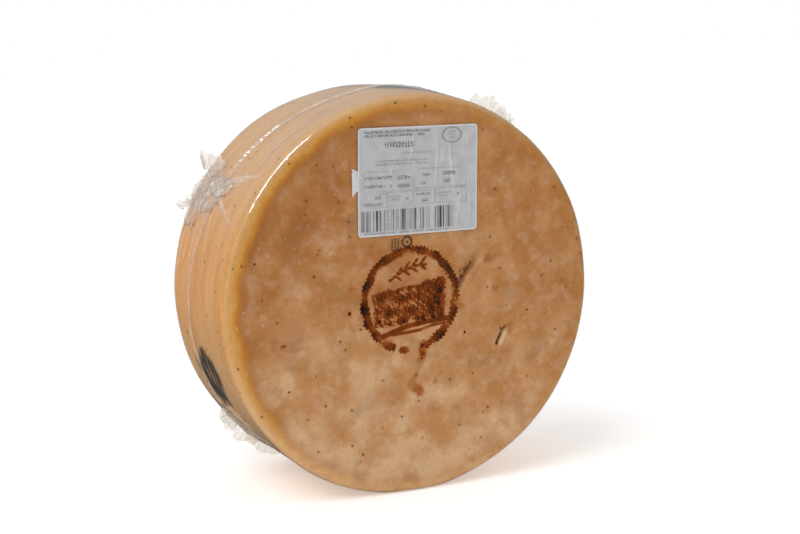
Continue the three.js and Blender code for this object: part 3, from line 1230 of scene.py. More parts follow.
@dataclass(frozen=True)
class Flap:
    """A loose flap of film that stands out of the rim like a crushed fan.

    s and y are its root's middle, in millimetres from the corner's gather along the rim and along
    the axis. turn is the direction it spreads in, in degrees from the rim way to the axis way.
    """

    s: float
    y: float
    turn: float
    spread: float
    height: float
    lean: float
    seed: int
    neck: float = 0.55
    pleats: int = 9
    pleat_depth: float = 2.2
    haze: float = 0.5

    def grid(self, disc: Disc, gather: tuple[float, float]) -> tuple[np.ndarray, np.ndarray]:
        """The flap's surface.

        At u across and v up, the point lies u * spread * (neck + (1 - neck) v) sideways, a jagged
        height times v out, and a zigzag of pleats, creases and the lean across the flap.

        Args:
            disc: the wheel's form.
            gather: the corner's angle in degrees and place along the axis.

        Returns:
            (rows, columns, 3) points and the haze at each.
        """
        u = np.linspace(-1, 1, 90)[None, :]
        v = np.linspace(0, 1, 26)[:, None]
        side = u * self.spread * (self.neck + (1 - self.neck) * v**0.8)
        here = np.stack(np.broadcast_arrays(side, v * self.height * 1.2), -1)
        edge_line = np.stack([u[0] * self.spread, 0 * u[0]], -1)
        ragged = 0.86 + 0.20 * creases(edge_line, 9, self.seed) + 0.05 * waves(edge_line, 4, self.seed + 1)
        rise = self.height * np.clip(1 - np.abs(u) ** 3.2, 0, 1) ** 0.45 * ragged * v
        drift = 0.07 * waves(edge_line, 14, self.seed + 2)
        phase = self.pleats * (u + drift) / 2 + 0.12 * waves(here, 16, self.seed + 6)
        zigzag = 4 * np.abs(np.mod(phase, 1) - 0.5) - 1
        across = self.pleat_depth * zigzag * v**0.7 * (1.1 - 0.5 * v)
        across = across + self.lean * v**1.6 + 0.45 * v * creases(here, 16, self.seed + 3)
        rise = rise + 0.4 * v * creases(here, 15, self.seed + 4)
        tilt = math.radians(self.turn)
        s = self.s + side * math.cos(tilt) - across * math.sin(tilt)
        y = self.y + side * math.sin(tilt) + across * math.cos(tilt)
        turn = math.radians(gather[0]) + s / disc.radius
        points = disc.skin(0.0, turn, gather[1] + y, rise + 0.35)
        lines = 0.75 + 0.80 * np.abs(zigzag) ** 5 + 0.14 * creases(here, 12, self.seed + 5)
        haze = self.haze * lines * (0.8 + 0.4 * v)
        return points, np.clip(haze, 0.04, 0.9)


@dataclass(frozen=True)
class Mound:
    """Film crushed flat against the rim: a blister that fades at its edge, pleated by rays.

    pull is the point that its pleats run out from, and rays their number once round.
    """

    s: float
    y: float
    half_s: float
    half_y: float
    height: float
    seed: int
    haze: float = 0.5
    pull: tuple[float, float] = (0.0, 0.0)
    rays: int = 16

    def grid(self, disc: Disc, gather: tuple[float, float]) -> tuple[np.ndarray, np.ndarray]:
        """The blister's surface: height times (1 - r^2), times the pleats and a few sharp creases.

        Args:
            disc: the wheel's form.
            gather: the corner's angle in degrees and place along the axis.

        Returns:
            (rows, columns, 3) points and the haze at each.
        """
        u = np.linspace(-1, 1, 110)[None, :]
        v = np.linspace(-1, 1, 110)[:, None]
        here = np.stack(np.broadcast_arrays(u * self.half_s, v * self.half_y), -1)
        ragged = 0.13 * creases(here, 11, self.seed) + 0.10 * waves(here, 6, self.seed + 1)
        r = np.sqrt(u**2 + v**2) * (1 + ragged)
        body = np.clip(1 - r**2, 0, 1)
        from_gather = here + np.array([self.s, self.y]) - np.array(self.pull)
        way = np.arctan2(from_gather[..., 1], from_gather[..., 0])
        phase = self.rays * way / (2 * math.pi) + 0.45 * waves(here, 20, self.seed + 5)
        ray = 4 * np.abs(np.mod(phase, 1) - 0.5) - 1
        folds = 0.52 + 0.30 * ray + 0.30 * creases(here, 17, self.seed + 2)
        lift = 0.12 + self.height * body**0.7 * np.clip(folds, 0.03, None)
        shrink = np.clip(r, 1, None)
        s = self.s + u * self.half_s / shrink
        y = self.y + v * self.half_y / shrink
        turn = math.radians(gather[0]) + s / disc.radius
        points = disc.skin(0.0, turn, gather[1] + y, lift + 0.25)
        lines = 0.34 + 0.90 * ramp(0.35, 1.0, ray) + 0.22 * creases(here, 14, self.seed + 4)
        return points, np.clip(self.haze * ramp(0, 0.35, body) * lines, 0.0, 0.9)


@dataclass
class PouchCorner:
    """One corner of the flat pouch, gathered by the shrinking: flaps, a crushed patch and its folds."""

    node: str
    flaps: tuple[Flap, ...]
    mounds: tuple[Mound, ...]
    folds: tuple[Fold, ...]
    rays: int
    ray_length: float
    seed: int

    def gather(self, disc: Disc) -> tuple[float, float]:
        """Finds where the film is gathered, from the box of the corner's CAD node.

        Args:
            disc: the wheel's form.

        Returns:
            The corner's angle in degrees and its place along the axis.
        """
        low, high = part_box(self.node)
        middle = (low + high) / 2 / MM
        turn = math.degrees(math.atan2(middle.z - disc.axis, middle.x))
        return turn, middle.y

    def all_folds(self) -> list[Fold]:
        """The drawn folds, and seeded finer ones that run out from the gather like rays.

        Returns:
            The folds.
        """
        rng = np.random.default_rng(self.seed)
        found = list(self.folds)
        for k in range(self.rays):
            way = 2 * math.pi * (k + rng.uniform(0.1, 0.9)) / self.rays
            reach = self.ray_length * rng.uniform(0.45, 1.0)
            bend = rng.normal(0, 0.12)
            steps = [(0.12, 0.0), (0.55, bend * 0.4), (1.0, bend)]
            path = tuple((reach * t * math.cos(way + b), reach * t * math.sin(way + b)) for t, b in steps)
            height, width, haze = (rng.uniform(*span) for span in ((0.2, 0.5), (0.8, 1.6), (0.15, 0.40)))
            found.append(Fold(path, height, width, haze))
        return found

    def press(self, disc: Disc, turn: np.ndarray, y: np.ndarray) -> tuple[np.ndarray, np.ndarray]:
        """How high the corner's folds raise the sheets, and how milky they make them.

        A fold is a ridge with a bell-shaped section that thins and fades towards its far end.

        Args:
            disc: the wheel's form.
            turn: angles in degrees.
            y: places along the axis.

        Returns:
            Height in millimetres and haze from 0 to 1.
        """
        middle, axial = self.gather(disc)
        s = (np.mod(turn - middle + 180, 360) - 180) * math.radians(disc.radius)
        here = np.stack(np.broadcast_arrays(s, y - axial), -1)
        height = np.zeros(here.shape[:-1])
        haze = np.zeros_like(height)
        wobble = 0.5 * waves(here, 13, self.seed + 1)
        for fold in self.all_folds():
            side, t = along(here, fold.path)
            width = fold.width * (1.15 - 0.55 * t)
            bell = np.exp(-(((side + wobble) / width) ** 2)) * ramp(1.0, 0.72, t) * ramp(-0.01, 0.05, t)
            height = np.maximum(height, fold.height * bell)
            haze = np.maximum(haze, fold.haze * bell * (0.75 + 0.35 * waves(here, 7, self.seed + 2)))
        return height, np.clip(haze, 0, 0.85)

    def build(self, disc: Disc, film: bpy.types.Material) -> bpy.types.Object:
        """Makes the corner's flaps and crushed patches as one piece of film.

        Args:
            disc: the wheel's form.
            film: the finish of gathered film.

        Returns:
            The corner's object.
        """
        draft = MeshDraft()
        gather = self.gather(disc)
        for part in (*self.mounds, *self.flaps):
            points, haze = part.grid(disc, gather)
            points[..., 2] = np.maximum(points[..., 2], 0.2)
            draft.add(points, Closing.OPEN, haze=haze, rim=0 * haze)
        piece = draft.build(self.node.replace("pouch_", "film_"))
        thicken(piece, 0.12)
        return stand_in(piece, self.node, film)


@dataclass
class Pouch:
    """The shrunk pouch: two cupped sheets, the weld between them and four gathered corners."""

    disc: Disc
    wall: float = 0.4
    columns: int = 660
    rim_rows: int = 68
    weld_half: float = 2.1
    corners: tuple[PouchCorner, ...] = (
        PouchCorner(
            "pouch_corner_top_left",
            flaps=(
                Flap(-17.0, 26.0, 86, 24.0, 14.5, 9.0, 101, 0.60, 5, 2.4, 0.36),
                Flap(-12.0, 14.0, 60, 15.0, 6.5, 3.0, 102, 0.50, 4, 2.0, 0.22),
                Flap(19.0, 37.0, 62, 11.0, 10.0, 1.5, 103, 0.45, 3, 1.6, 0.40),
                Flap(6.0, 33.0, 20, 13.0, 5.5, 2.5, 104, 0.6, 4, 1.8, 0.24),
            ),
            mounds=(
                Mound(1.0, 8.0, 19.0, 33.0, 2.8, 111, 0.36, (-12.0, 4.0), 11),
                Mound(-6.0, -12.0, 10.0, 25.0, 2.2, 112, 0.32, (-12.0, 8.0), 12),
                Mound(17.0, 20.0, 20.0, 18.0, 2.4, 113, 0.26, (-8.0, 16.0), 17),
            ),
            folds=(
                Fold(((-4, -10), (10, -37), (13, -47), (20, -57)), 1.0, 2.2, 0.75),
                Fold(((13, -47), (24, -74)), 0.8, 1.2, 0.5),
                Fold(((-8, -5), (-20, -50), (-25, -82)), 0.9, 2.6, 0.62),
                Fold(((-6, -10), (-16, -46), (-20, -66)), 0.8, 2.2, 0.60),
                Fold(((-3, -14), (-11, -42), (-14, -54)), 0.6, 2.0, 0.50),
                Fold(((16, -22), (42, -30), (58, -31)), 0.7, 1.0, 0.42),
                Fold(((18, -8), (40, -14), (66, -15)), 0.8, 1.1, 0.50),
                Fold(((20, 2), (44, 0), (74, 2)), 0.9, 1.2, 0.55),
                Fold(((20, 10), (46, 14), (70, 18)), 0.8, 1.0, 0.45),
                Fold(((18, 20), (44, 25), (82, 28)), 0.9, 1.3, 0.50),
                Fold(((16, 27), (40, 33), (60, 34)), 0.8, 1.1, 0.45),
            ),
            rays=22,
            ray_length=46.0,
            seed=7,
        ),
        PouchCorner(
            "pouch_corner_top_right",
            flaps=(
                Flap(0.0, 0.0, 2, 24.0, 24.0, 2.0, 124, 0.72, 5, 1.6, 0.26),
                Flap(-8.0, -7.0, -4, 15.0, 15.0, -4.0, 123, 0.7, 4, 1.6, 0.16),
            ),
            mounds=(Mound(0.0, 0.0, 24.0, 14.0, 2.0, 131, 0.24),),
            folds=(),
            rays=24,
            ray_length=40.0,
            seed=17,
        ),
        PouchCorner(
            "pouch_corner_bottom_left",
            flaps=(
                Flap(-1.0, 0.0, 4, 24.0, 12.5, 3.0, 141, 0.75, 6, 2.4, 0.18),
                Flap(23.0, -2.0, -8, 18.0, 8.5, -3.0, 142, 0.75, 5, 2.2, 0.16),
                Flap(-12.0, 4.0, 16, 13.0, 9.5, 2.0, 143, 0.65, 4, 2.0, 0.16),
            ),
            mounds=(Mound(0.0, -2.0, 32.0, 17.0, 2.2, 151, 0.26),),
            folds=(),
            rays=26,
            ray_length=44.0,
            seed=27,
        ),
        PouchCorner(
            "pouch_corner_bottom_right",
            flaps=(
                Flap(0.0, 0.0, 0, 21.0, 15.0, 3.0, 161, 0.6, 8, 2.2, 0.22),
                Flap(-4.0, 3.0, 14, 14.0, 11.0, -3.0, 162, 0.6, 6, 2.0, 0.20),
            ),
            mounds=(Mound(0.0, 0.0, 25.0, 15.0, 2.2, 171, 0.24),),
            folds=(),
            rays=24,
            ray_length=42.0,
            seed=37,
        ),
    )

    def weld_y(self, turn: np.ndarray) -> np.ndarray:
        """The weld's place along the axis, on the plane that its CAD node lies in.

        Args:
            turn: angles in radians.

        Returns:
            Places in millimetres.
        """
        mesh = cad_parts["pouch_weld"].data
        co = np.zeros(len(mesh.vertices) * 3)
        mesh.vertices.foreach_get("co", co)
        x, y, z = (co.reshape(-1, 3) / MM).T
        plane = np.stack([np.ones_like(x), x, z - self.disc.axis], -1)
        fit = np.linalg.lstsq(plane, y, rcond=None)[0]
        return fit[0] + self.disc.radius * (fit[1] * np.cos(turn) + fit[2] * np.sin(turn))

    def angles(self) -> np.ndarray:
        """Angles of the sheets' columns, closer together at the corners.

        Returns:
            Angles in radians.
        """
        gathers = [corner.gather(self.disc)[0] for corner in self.corners]
        extra = [2.6, 1.2, 1.2, 0.8]
        return spaced_angles(self.columns, [(g, 17, e) for g, e in zip(gathers, extra)])

    def edge_line(self, turn: np.ndarray, normal: np.ndarray) -> np.ndarray:
        """Haze that paints a highlight as a pale line in the film along the wheel's upper left edge.

        It is a narrow bell round the edge at 56 degrees from the face's own direction, faint from
        105 to 205 degrees round the wheel and plain from 124 to 153.

        Args:
            turn: angles in radians.
            normal: how far each row faces away from the axis, from 0 to 1.

        Returns:
            Haze from 0 to 1.
        """
        slope = np.degrees(np.arcsin(np.clip(normal, 0, 1))) - 56
        degrees = np.degrees(turn) + 0 * slope
        long = ramp(105, 120, degrees) * ramp(205, 180, degrees)
        short = ramp(124, 131, degrees) * ramp(153, 143, degrees)
        return np.exp(-((slope / 4.2) ** 2)) * (0.16 * long + 0.42 * short)

    def sheet(self, front: bool) -> tuple[np.ndarray, np.ndarray, np.ndarray]:
        """One sheet as a closed cup: its outer side from pole to weld, and its inner side back.

        Args:
            front: True for the sheet over the labelled face.

        Returns:
            Points, haze and how far each lies on the rim.
        """
        disc, turn = self.disc, self.angles()
        way = -1 if front else 1
        faces = np.array([3.0, 30, 60, 90, 115, 135, 150])
        stop = self.weld_y(turn) + way * self.weld_half
        grids, hazes, rims = [], [], []
        for inset, rim_rows, edge_steps in ((0.0, self.rim_rows, 24), (self.wall, 10, 4)):
            radius, out, radial, axial = disc.rows(inset, faces, edge_steps)
            t = (np.arange(1, rim_rows + 1) / rim_rows)[:, None]
            start = way * (disc.half - disc.edge)
            rim_y = start + t * (stop - start)
            y = np.vstack([way * out[:, None] + 0 * turn, rim_y])
            full = np.concatenate([radius, np.full(rim_rows, disc.radius - inset)])[:, None]
            normal = np.concatenate([radial, np.ones(rim_rows)])[:, None]
            lean = np.concatenate([way * axial, np.zeros(rim_rows)])[:, None]
            on_rim = ramp(0.5, 1.0, normal) + 0 * turn
            streaked = on_rim * (0.12 + 0.88 * ramp(0.25, 0.9, np.sin(turn)))
            lift, haze = np.zeros_like(y), np.zeros_like(y)
            if inset == 0:
                # The pale line along the upper left edge is a painted highlight.
                haze = self.edge_line(turn, normal) * float(front)
                for corner in self.corners:
                    height, milk = corner.press(disc, np.degrees(turn) + 0 * y, y)
                    lift = np.maximum(lift, height * on_rim)
                    haze = np.maximum(haze, milk * on_rim)
            grids.append(placed(disc, full, y, normal, lean, turn, lift, inset))
            hazes.append(haze)
            rims.append(streaked)
        outer, inner = ([g[0] for g in (grids, hazes, rims)], [g[1][::-1] for g in (grids, hazes, rims)])
        rows = [np.concatenate(pair) for pair in zip(outer, inner)]
        return tuple(rows) if front else tuple(r[::-1] for r in rows)

    def weld(self) -> tuple[np.ndarray, np.ndarray]:
        """The weld: a flat band with two raised beads that wander and pearl along it.

        At v across the band, the height is a low crown plus two bell-shaped beads, whose size
        changes with soft noise along the rim.

        Returns:
            Points of the band's closed section all round, and its haze.
        """
        disc = self.disc
        turn = spaced_angles(1300, [])
        v = np.linspace(-1, 1, 23)[:, None]
        ring = np.stack([np.cos(turn), np.sin(turn)], -1) * disc.radius
        wander = 0.5 * waves(ring, 42, 51) + 0.25 * waves(ring, 15, 52)
        beaded = 0.5 * creases(ring, 4.5, 53) * ramp(-0.2, 0.8, np.sin(turn) + 0.2)
        pearl = 0.7 + beaded + 0.3 * waves(ring, 22, 54)
        split = 0.44 + 0.12 * waves(ring, 30, 55)
        beads = np.exp(-(((v - split) / 0.16) ** 2)) + 0.85 * np.exp(-(((v + split) / 0.14) ** 2))
        height = 0.10 + 0.22 * (1 - v**2) + 0.80 * beads * np.clip(pearl, 0.15, 1.4)
        half = self.weld_half + 1.6
        middle = self.weld_y(turn)
        y = middle + wander + v * half
        swell = disc.swell(np.stack([ring[:, 0], middle, ring[:, 1]], -1))
        top = disc.skin(0.0, turn + 0 * v, y, swell + height * (1 - v**8))
        bottom = disc.skin(0.0, turn + 0 * v, y, swell + 0.04 - 0.02 * (1 - v**2))
        grid = np.concatenate([top, bottom[1:-1][::-1]])
        milk = np.clip(0.24 + 0.62 * np.clip(beads, 0, 1) * np.clip(pearl, 0.4, 1.3), 0, 0.95)
        milk = milk * (0.35 + 0.65 * ramp(0.1, 0.7, np.sin(turn)))
        return grid, np.concatenate([milk, 0 * milk[1:-1]])

    def build(self) -> list[bpy.types.Object]:
        """Makes the sheets, the weld and the corners, and dresses them in film.

        Returns:
            The pouch's objects.
        """
        clear = ShrinkFilm("shrink_film_drawn", 0.002, 0.07).make()
        folded = ShrinkFilm("shrink_film_gathered", 0.02, 0.14, "#FBF8F3", 1.6).make()
        made = []
        for name, front in (("pouch_front_sheet", True), ("pouch_back_sheet", False)):
            points, haze, rim = self.sheet(front)
            draft = MeshDraft()
            draft.add(points, Closing.BALL, haze=haze, rim=rim)
            piece = draft.build(name.replace("pouch_", "film_"))
            made.append(stand_in(piece, name, clear))
        points, haze = self.weld()
        draft = MeshDraft()
        draft.add(points, Closing.RING, haze=haze, rim=0 * haze)
        made.append(stand_in(draft.build("film_weld"), "pouch_weld", folded))
        return made + [corner.build(self.disc, folded) for corner in self.corners]


# ---------------------------------------------------------------- paper


@dataclass(frozen=True)
class Row:
    """A row of marks that stands for printed words: shares of the label's width and height."""

    left: float
    right: float
    top: float
    tall: float
    strength: float
    words: float = 9.0


@dataclass
class PaperLabel:
    """The label: a creased sheet of paper that follows the film, with greyed rows, boxes and bars."""

    disc: Disc
    wide: float = 110.0
    tall: float = 89.0
    step: float = 0.5
    letter: float = 2.7
    corner: float = 3.0
    lift: float = 0.45
    rows: tuple[Row, ...] = (
        Row(0.05, 0.60, 0.028, 0.024, 0.85, 8),
        Row(0.05, 0.55, 0.062, 0.024, 0.85, 8),
        Row(0.22, 0.46, 0.135, 0.052, 1.00, 22),
        Row(0.35, 0.60, 0.235, 0.016, 0.45, 6),
        Row(0.14, 0.57, 0.300, 0.018, 0.50, 6),
        Row(0.14, 0.58, 0.330, 0.018, 0.50, 6),
        Row(0.05, 0.28, 0.448, 0.026, 0.75, 9),
        Row(0.32, 0.43, 0.448, 0.036, 0.75, 3.5),
        Row(0.05, 0.28, 0.525, 0.026, 0.75, 9),
        Row(0.32, 0.43, 0.525, 0.036, 0.75, 3.5),
        Row(0.52, 0.60, 0.440, 0.026, 0.75, 9),
        Row(0.70, 0.81, 0.430, 0.036, 0.80, 7),
        Row(0.52, 0.59, 0.518, 0.026, 0.75, 9),
        Row(0.71, 0.79, 0.500, 0.036, 0.75, 7),
        Row(0.06, 0.19, 0.625, 0.032, 0.70, 9),
        Row(0.05, 0.20, 0.690, 0.032, 0.60, 22),
        Row(0.25, 0.35, 0.632, 0.018, 0.45, 6),
        Row(0.25, 0.37, 0.660, 0.018, 0.45, 6),
        Row(0.39, 0.42, 0.650, 0.028, 0.60, 9),
        Row(0.48, 0.60, 0.620, 0.022, 0.75, 7),
        Row(0.49, 0.58, 0.672, 0.034, 0.70, 7),
        Row(0.66, 0.78, 0.620, 0.020, 0.45, 6),
        Row(0.66, 0.78, 0.648, 0.020, 0.45, 6),
        Row(0.83, 0.85, 0.630, 0.036, 0.60, 9),
        Row(0.03, 0.75, 0.965, 0.018, 0.60, 3.5),
        Row(0.745, 0.815, 0.060, 0.016, 0.45, 4),
        Row(0.735, 0.825, 0.086, 0.016, 0.45, 5),
        Row(0.755, 0.805, 0.112, 0.016, 0.45, 4),
    )
    boxes: tuple[tuple[float, float, float, float], ...] = (
        (0.05, 0.45, 0.405, 0.585),
        (0.465, 0.905, 0.395, 0.575),
        (0.05, 0.235, 0.605, 0.735),
        (0.245, 0.450, 0.600, 0.730),
        (0.46, 0.635, 0.598, 0.725),
        (0.645, 0.905, 0.590, 0.720),
    )
    bars: tuple[float, float, float, float] = (0.025, 0.79, 0.765, 0.955)
    oval: tuple[float, float, float, float] = (0.78, 0.093, 0.080, 0.070)

    def creased(self, x: np.ndarray, y: np.ndarray) -> np.ndarray:
        """Height of the creases: sharp little ridges along paths, over a low swell.

        Args:
            x: shares of the label's width, from its left edge.
            y: shares of its height, from its top.

        Returns:
            Heights in millimetres.
        """
        # Each crease's path in shares of the label, its height and its half width.
        creased = (
            (((0.46, 0.08), (0.44, 0.22), (0.42, 0.34)), 0.55, 1.1),
            (((0.30, 0.34), (0.28, 0.40), (0.27, 0.46)), 0.45, 0.9),
            (((0.65, 0.02), (0.655, 0.30), (0.645, 0.62)), 0.45, 1.0),
            (((0.75, 0.10), (0.775, 0.36), (0.79, 0.50), (0.82, 0.63)), 0.55, 1.2),
            (((0.71, 0.36), (0.70, 0.28), (0.735, 0.20)), 0.35, 0.8),
            (((0.90, 0.05), (0.915, 0.20)), 0.40, 1.6),
            (((0.86, 0.55), (0.84, 0.75), (0.83, 0.98)), 0.50, 1.4),
            (((0.94, 0.62), (0.925, 0.98)), 0.40, 1.2),
            (((0.12, 0.90), (0.20, 0.875), (0.36, 0.86)), 0.35, 0.8),
            (((0.52, 0.60), (0.515, 0.98)), 0.30, 0.9),
        )
        here = np.stack([x, y], -1) * np.array([self.wide, self.tall])
        total = 0.16 * waves(here, 30, 61) + 0.05 * waves(here, 9, 62)
        wobble = 0.5 * waves(here, 12, 63)
        for shares, height, width in creased:
            side, t = along(here, tuple((a * self.wide, b * self.tall) for a, b in shares))
            ridge = np.maximum(0, 1 - np.abs(side + wobble) / (1.5 * width))
            total += 1.7 * height * ridge * ramp(0, 0.15, t) * ramp(1.0, 0.8, t)
        return total

    def words(self, x: np.ndarray, y: np.ndarray) -> np.ndarray:
        """Where the rows of marks lie, with gaps between groups of about the given length.

        Args:
            x: shares of the label's width, from its left edge.
            y: shares of its height, from its top.

        Returns:
            Cover from 0 to 1.
        """
        across, down = x * self.wide, y * self.tall
        total = np.zeros(x.shape)
        for i, row in enumerate(self.rows):
            head, foot = row.top * self.tall, (row.top + row.tall) * self.tall
            inside = ramp(-0.3, 0.3, across - row.left * self.wide)
            inside *= ramp(-0.3, 0.3, row.right * self.wide - across)
            inside *= ramp(-0.25, 0.25, down - head) * ramp(-0.25, 0.25, foot - down)
            gaps = waves(np.stack([across, 0 * x + 40.0 * i], -1), row.words * 1.6, 70 + i, 6)
            found = row.strength * inside * ramp(-0.95, -0.65, gaps)
            if row.tall > 0.05:
                # The tallest row is cut into upright strokes, a letter apart.
                found *= ramp(-0.85, -0.35, np.cos(2 * math.pi * across / self.letter))
            total = np.maximum(total, found)
        return total

    def rules(self, x: np.ndarray, y: np.ndarray) -> np.ndarray:
        """Thin ruled lines of the boxes, and the outline of a plain oval.

        Args:
            x: shares of the label's width, from its left edge.
            y: shares of its height, from its top.

        Returns:
            Cover from 0 to 1.
        """
        patchy = 0.7 + 0.4 * waves(np.stack([x * self.wide, y * self.tall], -1), 25, 68)
        total = np.zeros(x.shape)
        for left, right, top, bottom in self.boxes:
            out_x = np.maximum(left - x, x - right) * self.wide
            out_y = np.maximum(top - y, y - bottom) * self.tall
            line = ramp(0.55, 0.1, np.abs(np.maximum(out_x, out_y)))
            total = np.maximum(total, 0.38 * line * patchy)
        cx, cy, rx, ry = self.oval
        r = np.hypot((x - cx) / rx, (y - cy) / ry)
        return np.clip(np.maximum(total, 0.8 * ramp(0.6, 0.15, np.abs(r - 1) * 7.0)), 0, 1)

    def build(self) -> bpy.types.Object:
        """Makes the label's sheet with rounded corners, its print as point values, and dresses it.

        Returns:
            The label's object.
        """
        low, high = (np.array(corner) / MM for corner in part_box("paper_label"))
        wide, tall = high[0] - low[0], high[2] - low[2]
        x = np.linspace(0, 1, round(wide / self.step) + 1)[None, :]
        y = np.linspace(0, 1, round(tall / self.step) + 1)[:, None]
        x, y = (np.array(a) for a in np.broadcast_arrays(x, y))
        across, down = (x - 0.5) * wide, (y - 0.5) * tall
        over_x = np.abs(across) - wide / 2 + self.corner
        over_y = np.abs(down) - tall / 2 + self.corner
        reach = np.hypot(np.maximum(over_x, 0), np.maximum(over_y, 0))
        pull = np.where(reach > self.corner, self.corner / np.maximum(reach, 1e-6), 1)
        across -= np.sign(across) * np.maximum(over_x, 0) * (1 - pull)
        down -= np.sign(down) * np.maximum(over_y, 0) * (1 - pull)
        middle_x, middle_z = (low[0] + high[0]) / 2, (low[2] + high[2]) / 2
        px, pz = middle_x + across, middle_z - down
        film = self.disc.swell(np.stack([px, 0 * px - self.disc.half, pz - self.disc.axis], -1))
        rise = self.creased(x, y)
        edge_gap = np.minimum(wide / 2 - np.abs(across), tall / 2 - np.abs(down))
        settle = ramp(-0.5, 5, edge_gap)
        top = -self.disc.half - film - self.lift - 0.06 - np.maximum(rise, -0.2) * settle
        grid = np.stack([px, top, pz], -1)
        left, right, head, foot = self.bars
        bars = ramp(-0.2, 0.2, (x - left) * wide) * ramp(-0.2, 0.2, (right - x) * wide)
        bars *= ramp(-0.3, 0.3, (y - head + 0.02 * x) * tall) * ramp(-0.3, 0.3, (foot - y) * tall)
        fade = 0.68 + 0.3 * waves(np.stack([x * self.wide, y * 20], -1), 16, 66)
        draft = MeshDraft()
        draft.add(
            grid,
            Closing.OPEN,
            place=np.stack([x * wide, y * tall], -1),
            words=self.words(x, y),
            rules=self.rules(x, y),
            bars=bars * np.clip(fade, 0.35, 0.95),
            # Paler along the edges, a painted highlight, and along the creases' crests.
            worn=0.7 * ramp(1.8, 0.4, edge_gap) + 0.3 * ramp(0.25, 0.6, rise),
        )
        piece = draft.build("label_sheet")
        thicken(piece, 0.14)
        return stand_in(piece, "paper_label", PrintedPaper().make())


@dataclass
class PaperScrap:
    """A torn scrap of whitish paper beside the label: ragged, pointed below, creased across."""

    disc: Disc

    def build(self) -> bpy.types.Object:
        """Makes the scrap: its left side is nearly straight and its foot runs out to a point.

        Returns:
            The scrap's object.
        """
        low, high = (np.array(corner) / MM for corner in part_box("paper_scrap"))
        wide, tall = high[0] - low[0], high[2] - low[2]
        u = np.linspace(0, 1, 34)[None, :]
        v = np.linspace(0, 1, 110)[:, None]
        edge = np.stack([0 * v[:, 0], v[:, 0] * tall], -1)
        left = 0.35 * creases(edge, 3, 81)[:, None] + 0.5 * v**2
        width = wide * (0.8 + 0.2 * ramp(0, 0.1, v)) * ramp(1.04, 0.70, v) + 0.25
        px = low[0] + 0.4 + left + u * width
        pz = high[2] - v * tall + 0 * u - 1.6 * u * ramp(0.3, 0, v)
        here = np.stack([px, pz], -1)
        film = self.disc.swell(np.stack([px, 0 * px - self.disc.half, pz - self.disc.axis], -1))
        rise = 0.30 * np.clip(creases(here, 6, 82) + 0.5, 0, 2) + 0.10 * waves(here, 3, 83)
        inner = ramp(0, 0.3, u) * ramp(1, 0.7, u)
        top = -self.disc.half - film - 0.35 - np.clip(rise, 0, None) * (0.35 + 0.65 * inner)
        draft = MeshDraft()
        draft.add(np.stack([px, top, pz], -1), Closing.OPEN, place=here, worn=0.5 + 0 * px)
        piece = draft.build("scrap_sheet")
        thicken(piece, 0.12)
        finish = PrintedPaper("scrap_paper_torn", "#C2B9B2", printed=False)
        return stand_in(piece, "paper_scrap", finish.make())


# ---------------------------------------------------------------- the studio


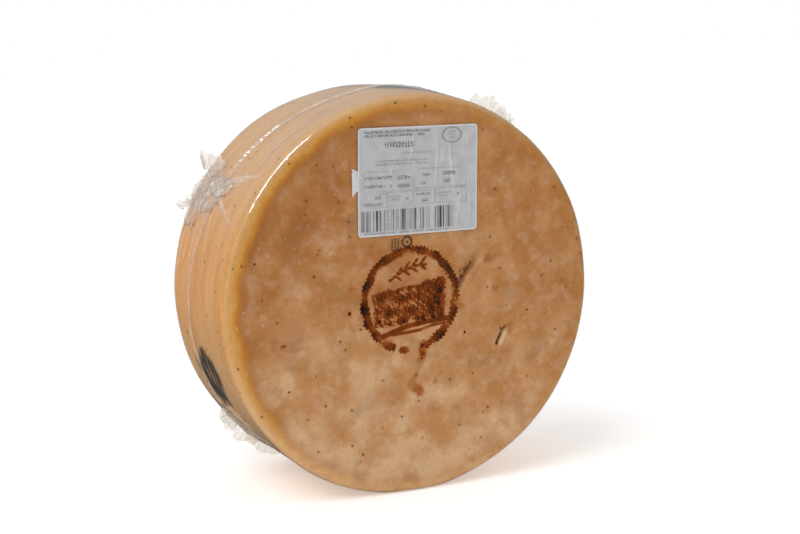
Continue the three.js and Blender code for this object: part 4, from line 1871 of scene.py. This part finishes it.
@dataclass
class Studio:
    """A white sweep under soft light: a broad key from the upper left and an even white surround."""

    lens: float = 72.0
    stand: tuple[float, float, float] = (-0.5941, -1.2362, 0.4274)
    heading: float = 26.314
    pitch: float = -10.098
    key_way: tuple[float, float, float] = (-0.58, -0.24, 0.78)
    strip_way: tuple[float, float, float] = (-0.62, -0.09, 0.78)
    surround: float = 0.62
    key: float = 1.2
    strip: float = 18.0

    def camera(self) -> None:
        """Stands the camera at its place, level and turned by its heading and pitch."""
        lens = bpy.data.cameras.new("camera")
        lens.lens = self.lens
        lens.sensor_width = 36.0
        lens.clip_end = 200.0
        camera = bpy.data.objects.new("camera", lens)
        across, up = math.radians(self.heading), math.radians(self.pitch)
        look = Vector((math.sin(across) * math.cos(up), math.cos(across) * math.cos(up), math.sin(up)))
        camera.location = self.stand
        camera.rotation_euler = look.to_track_quat("-Z", "Y").to_euler()
        bpy.context.scene.collection.objects.link(camera)
        bpy.context.scene.camera = camera

    def lamp(
        self, name: str, data: bpy.types.Light, way: tuple[float, float, float], distance: float
    ) -> bpy.types.Object:
        """Hangs a lamp so that it faces the wheel's middle.

        Args:
            name: the object's name.
            data: the light.
            way: its direction from the wheel's middle.
            distance: how far away it hangs, in metres.

        Returns:
            The lamp.
        """
        lamp = bpy.data.objects.new(name, data)
        out = Vector(way).normalized()
        lamp.location = Vector((0, 0, 0.17)) + out * distance
        lamp.rotation_euler = out.to_track_quat("Z", "X").to_euler()
        bpy.context.scene.collection.objects.link(lamp)
        return lamp

    def lights(self) -> None:
        """Adds the key, the narrow strip that draws the bright line on the edge, and the surround."""
        key = bpy.data.lights.new("key", "SUN")
        key.energy = self.key
        key.angle = math.radians(38)
        self.lamp("key", key, self.key_way, 3.0).visible_glossy = False
        strip = bpy.data.lights.new("strip", "AREA")
        strip.shape = "RECTANGLE"
        strip.size, strip.size_y = 1.0, 0.06
        strip.energy = self.strip
        self.lamp("strip", strip, self.strip_way, 1.5).visible_diffuse = False
        self.surroundings()

    def surroundings(self) -> None:
        """Makes the surround: white to the eye, and a little darker as a light.

        Gloss sees it bright only behind and above the wheel, because the room in front of the sweep
        is unlit.
        """
        world = bpy.data.worlds.new("surround")
        world.use_nodes = True
        tree = world.node_tree
        tree.nodes.clear()
        path = add_node(tree, "LightPath").outputs
        way = add_node(tree, "TexCoord").outputs["Generated"]
        towards = {0: way, 1: (0.0, 0.8, 0.6)}
        lit = add_node(tree, "VectorMath", towards, operation="DOT_PRODUCT").outputs["Value"]
        limits = {"Value": lit, "From Min": 0.45, "From Max": 0.9, "To Min": 0.03, "To Max": 0.60}
        behind = add_node(tree, "MapRange", limits).outputs[0]
        glossy = add_node(tree, "Mix", {0: path["Is Glossy Ray"], 2: 1.0, 3: behind}).outputs[0]
        level = add_node(tree, "Mix", {0: path["Is Diffuse Ray"], 2: glossy, 3: self.surround}).outputs[0]
        glow = add_node(tree, "Background", {"Color": (1, 1, 1, 1), "Strength": level})
        add_node(tree, "OutputWorld", {"Surface": glow.outputs[0]})
        bpy.context.scene.world = world

    def floor(self) -> None:
        """Lays the sweep: a flat square, as a grid of a few faces."""
        x = np.linspace(-6000, 6000, 9)
        across, deep = np.meshgrid(x, x)
        draft = MeshDraft()
        draft.add(np.stack([across, deep, 0 * across - 0.05], -1)[::-1], Closing.OPEN)
        piece = draft.build("sweep")
        piece.data.materials.append(StudioFloor().make())
        piece.visible_glossy = False

    def build(self) -> None:
        """Sets up the camera, lights and floor, and shows colours as they are."""
        self.camera()
        self.lights()
        self.floor()
        scene = bpy.context.scene
        scene.view_settings.view_transform = "Standard"
        # The gathered corners lay several sheets of film in front of each other.
        scene.cycles.transparent_max_bounces = 32


def main() -> None:
    """Builds the studio and the pieces in order, and reports each piece."""
    logging.basicConfig(level=logging.INFO, format="%(message)s")
    Studio().build()
    disc = Disc.from_frame()
    LOG.info("wheel: radius %.1f mm, half thickness %.1f mm", disc.radius, disc.half)
    pieces = [CheeseWheel(disc).build()]
    pieces += Pouch(disc).build()
    pieces += [PaperLabel(disc).build(), PaperScrap(disc).build()]
    for piece in pieces:
        mesh = piece.data
        LOG.info("%s: %d points, %d faces", piece.name, len(mesh.vertices), len(mesh.polygons))


if __name__ == "__main__":
    main()
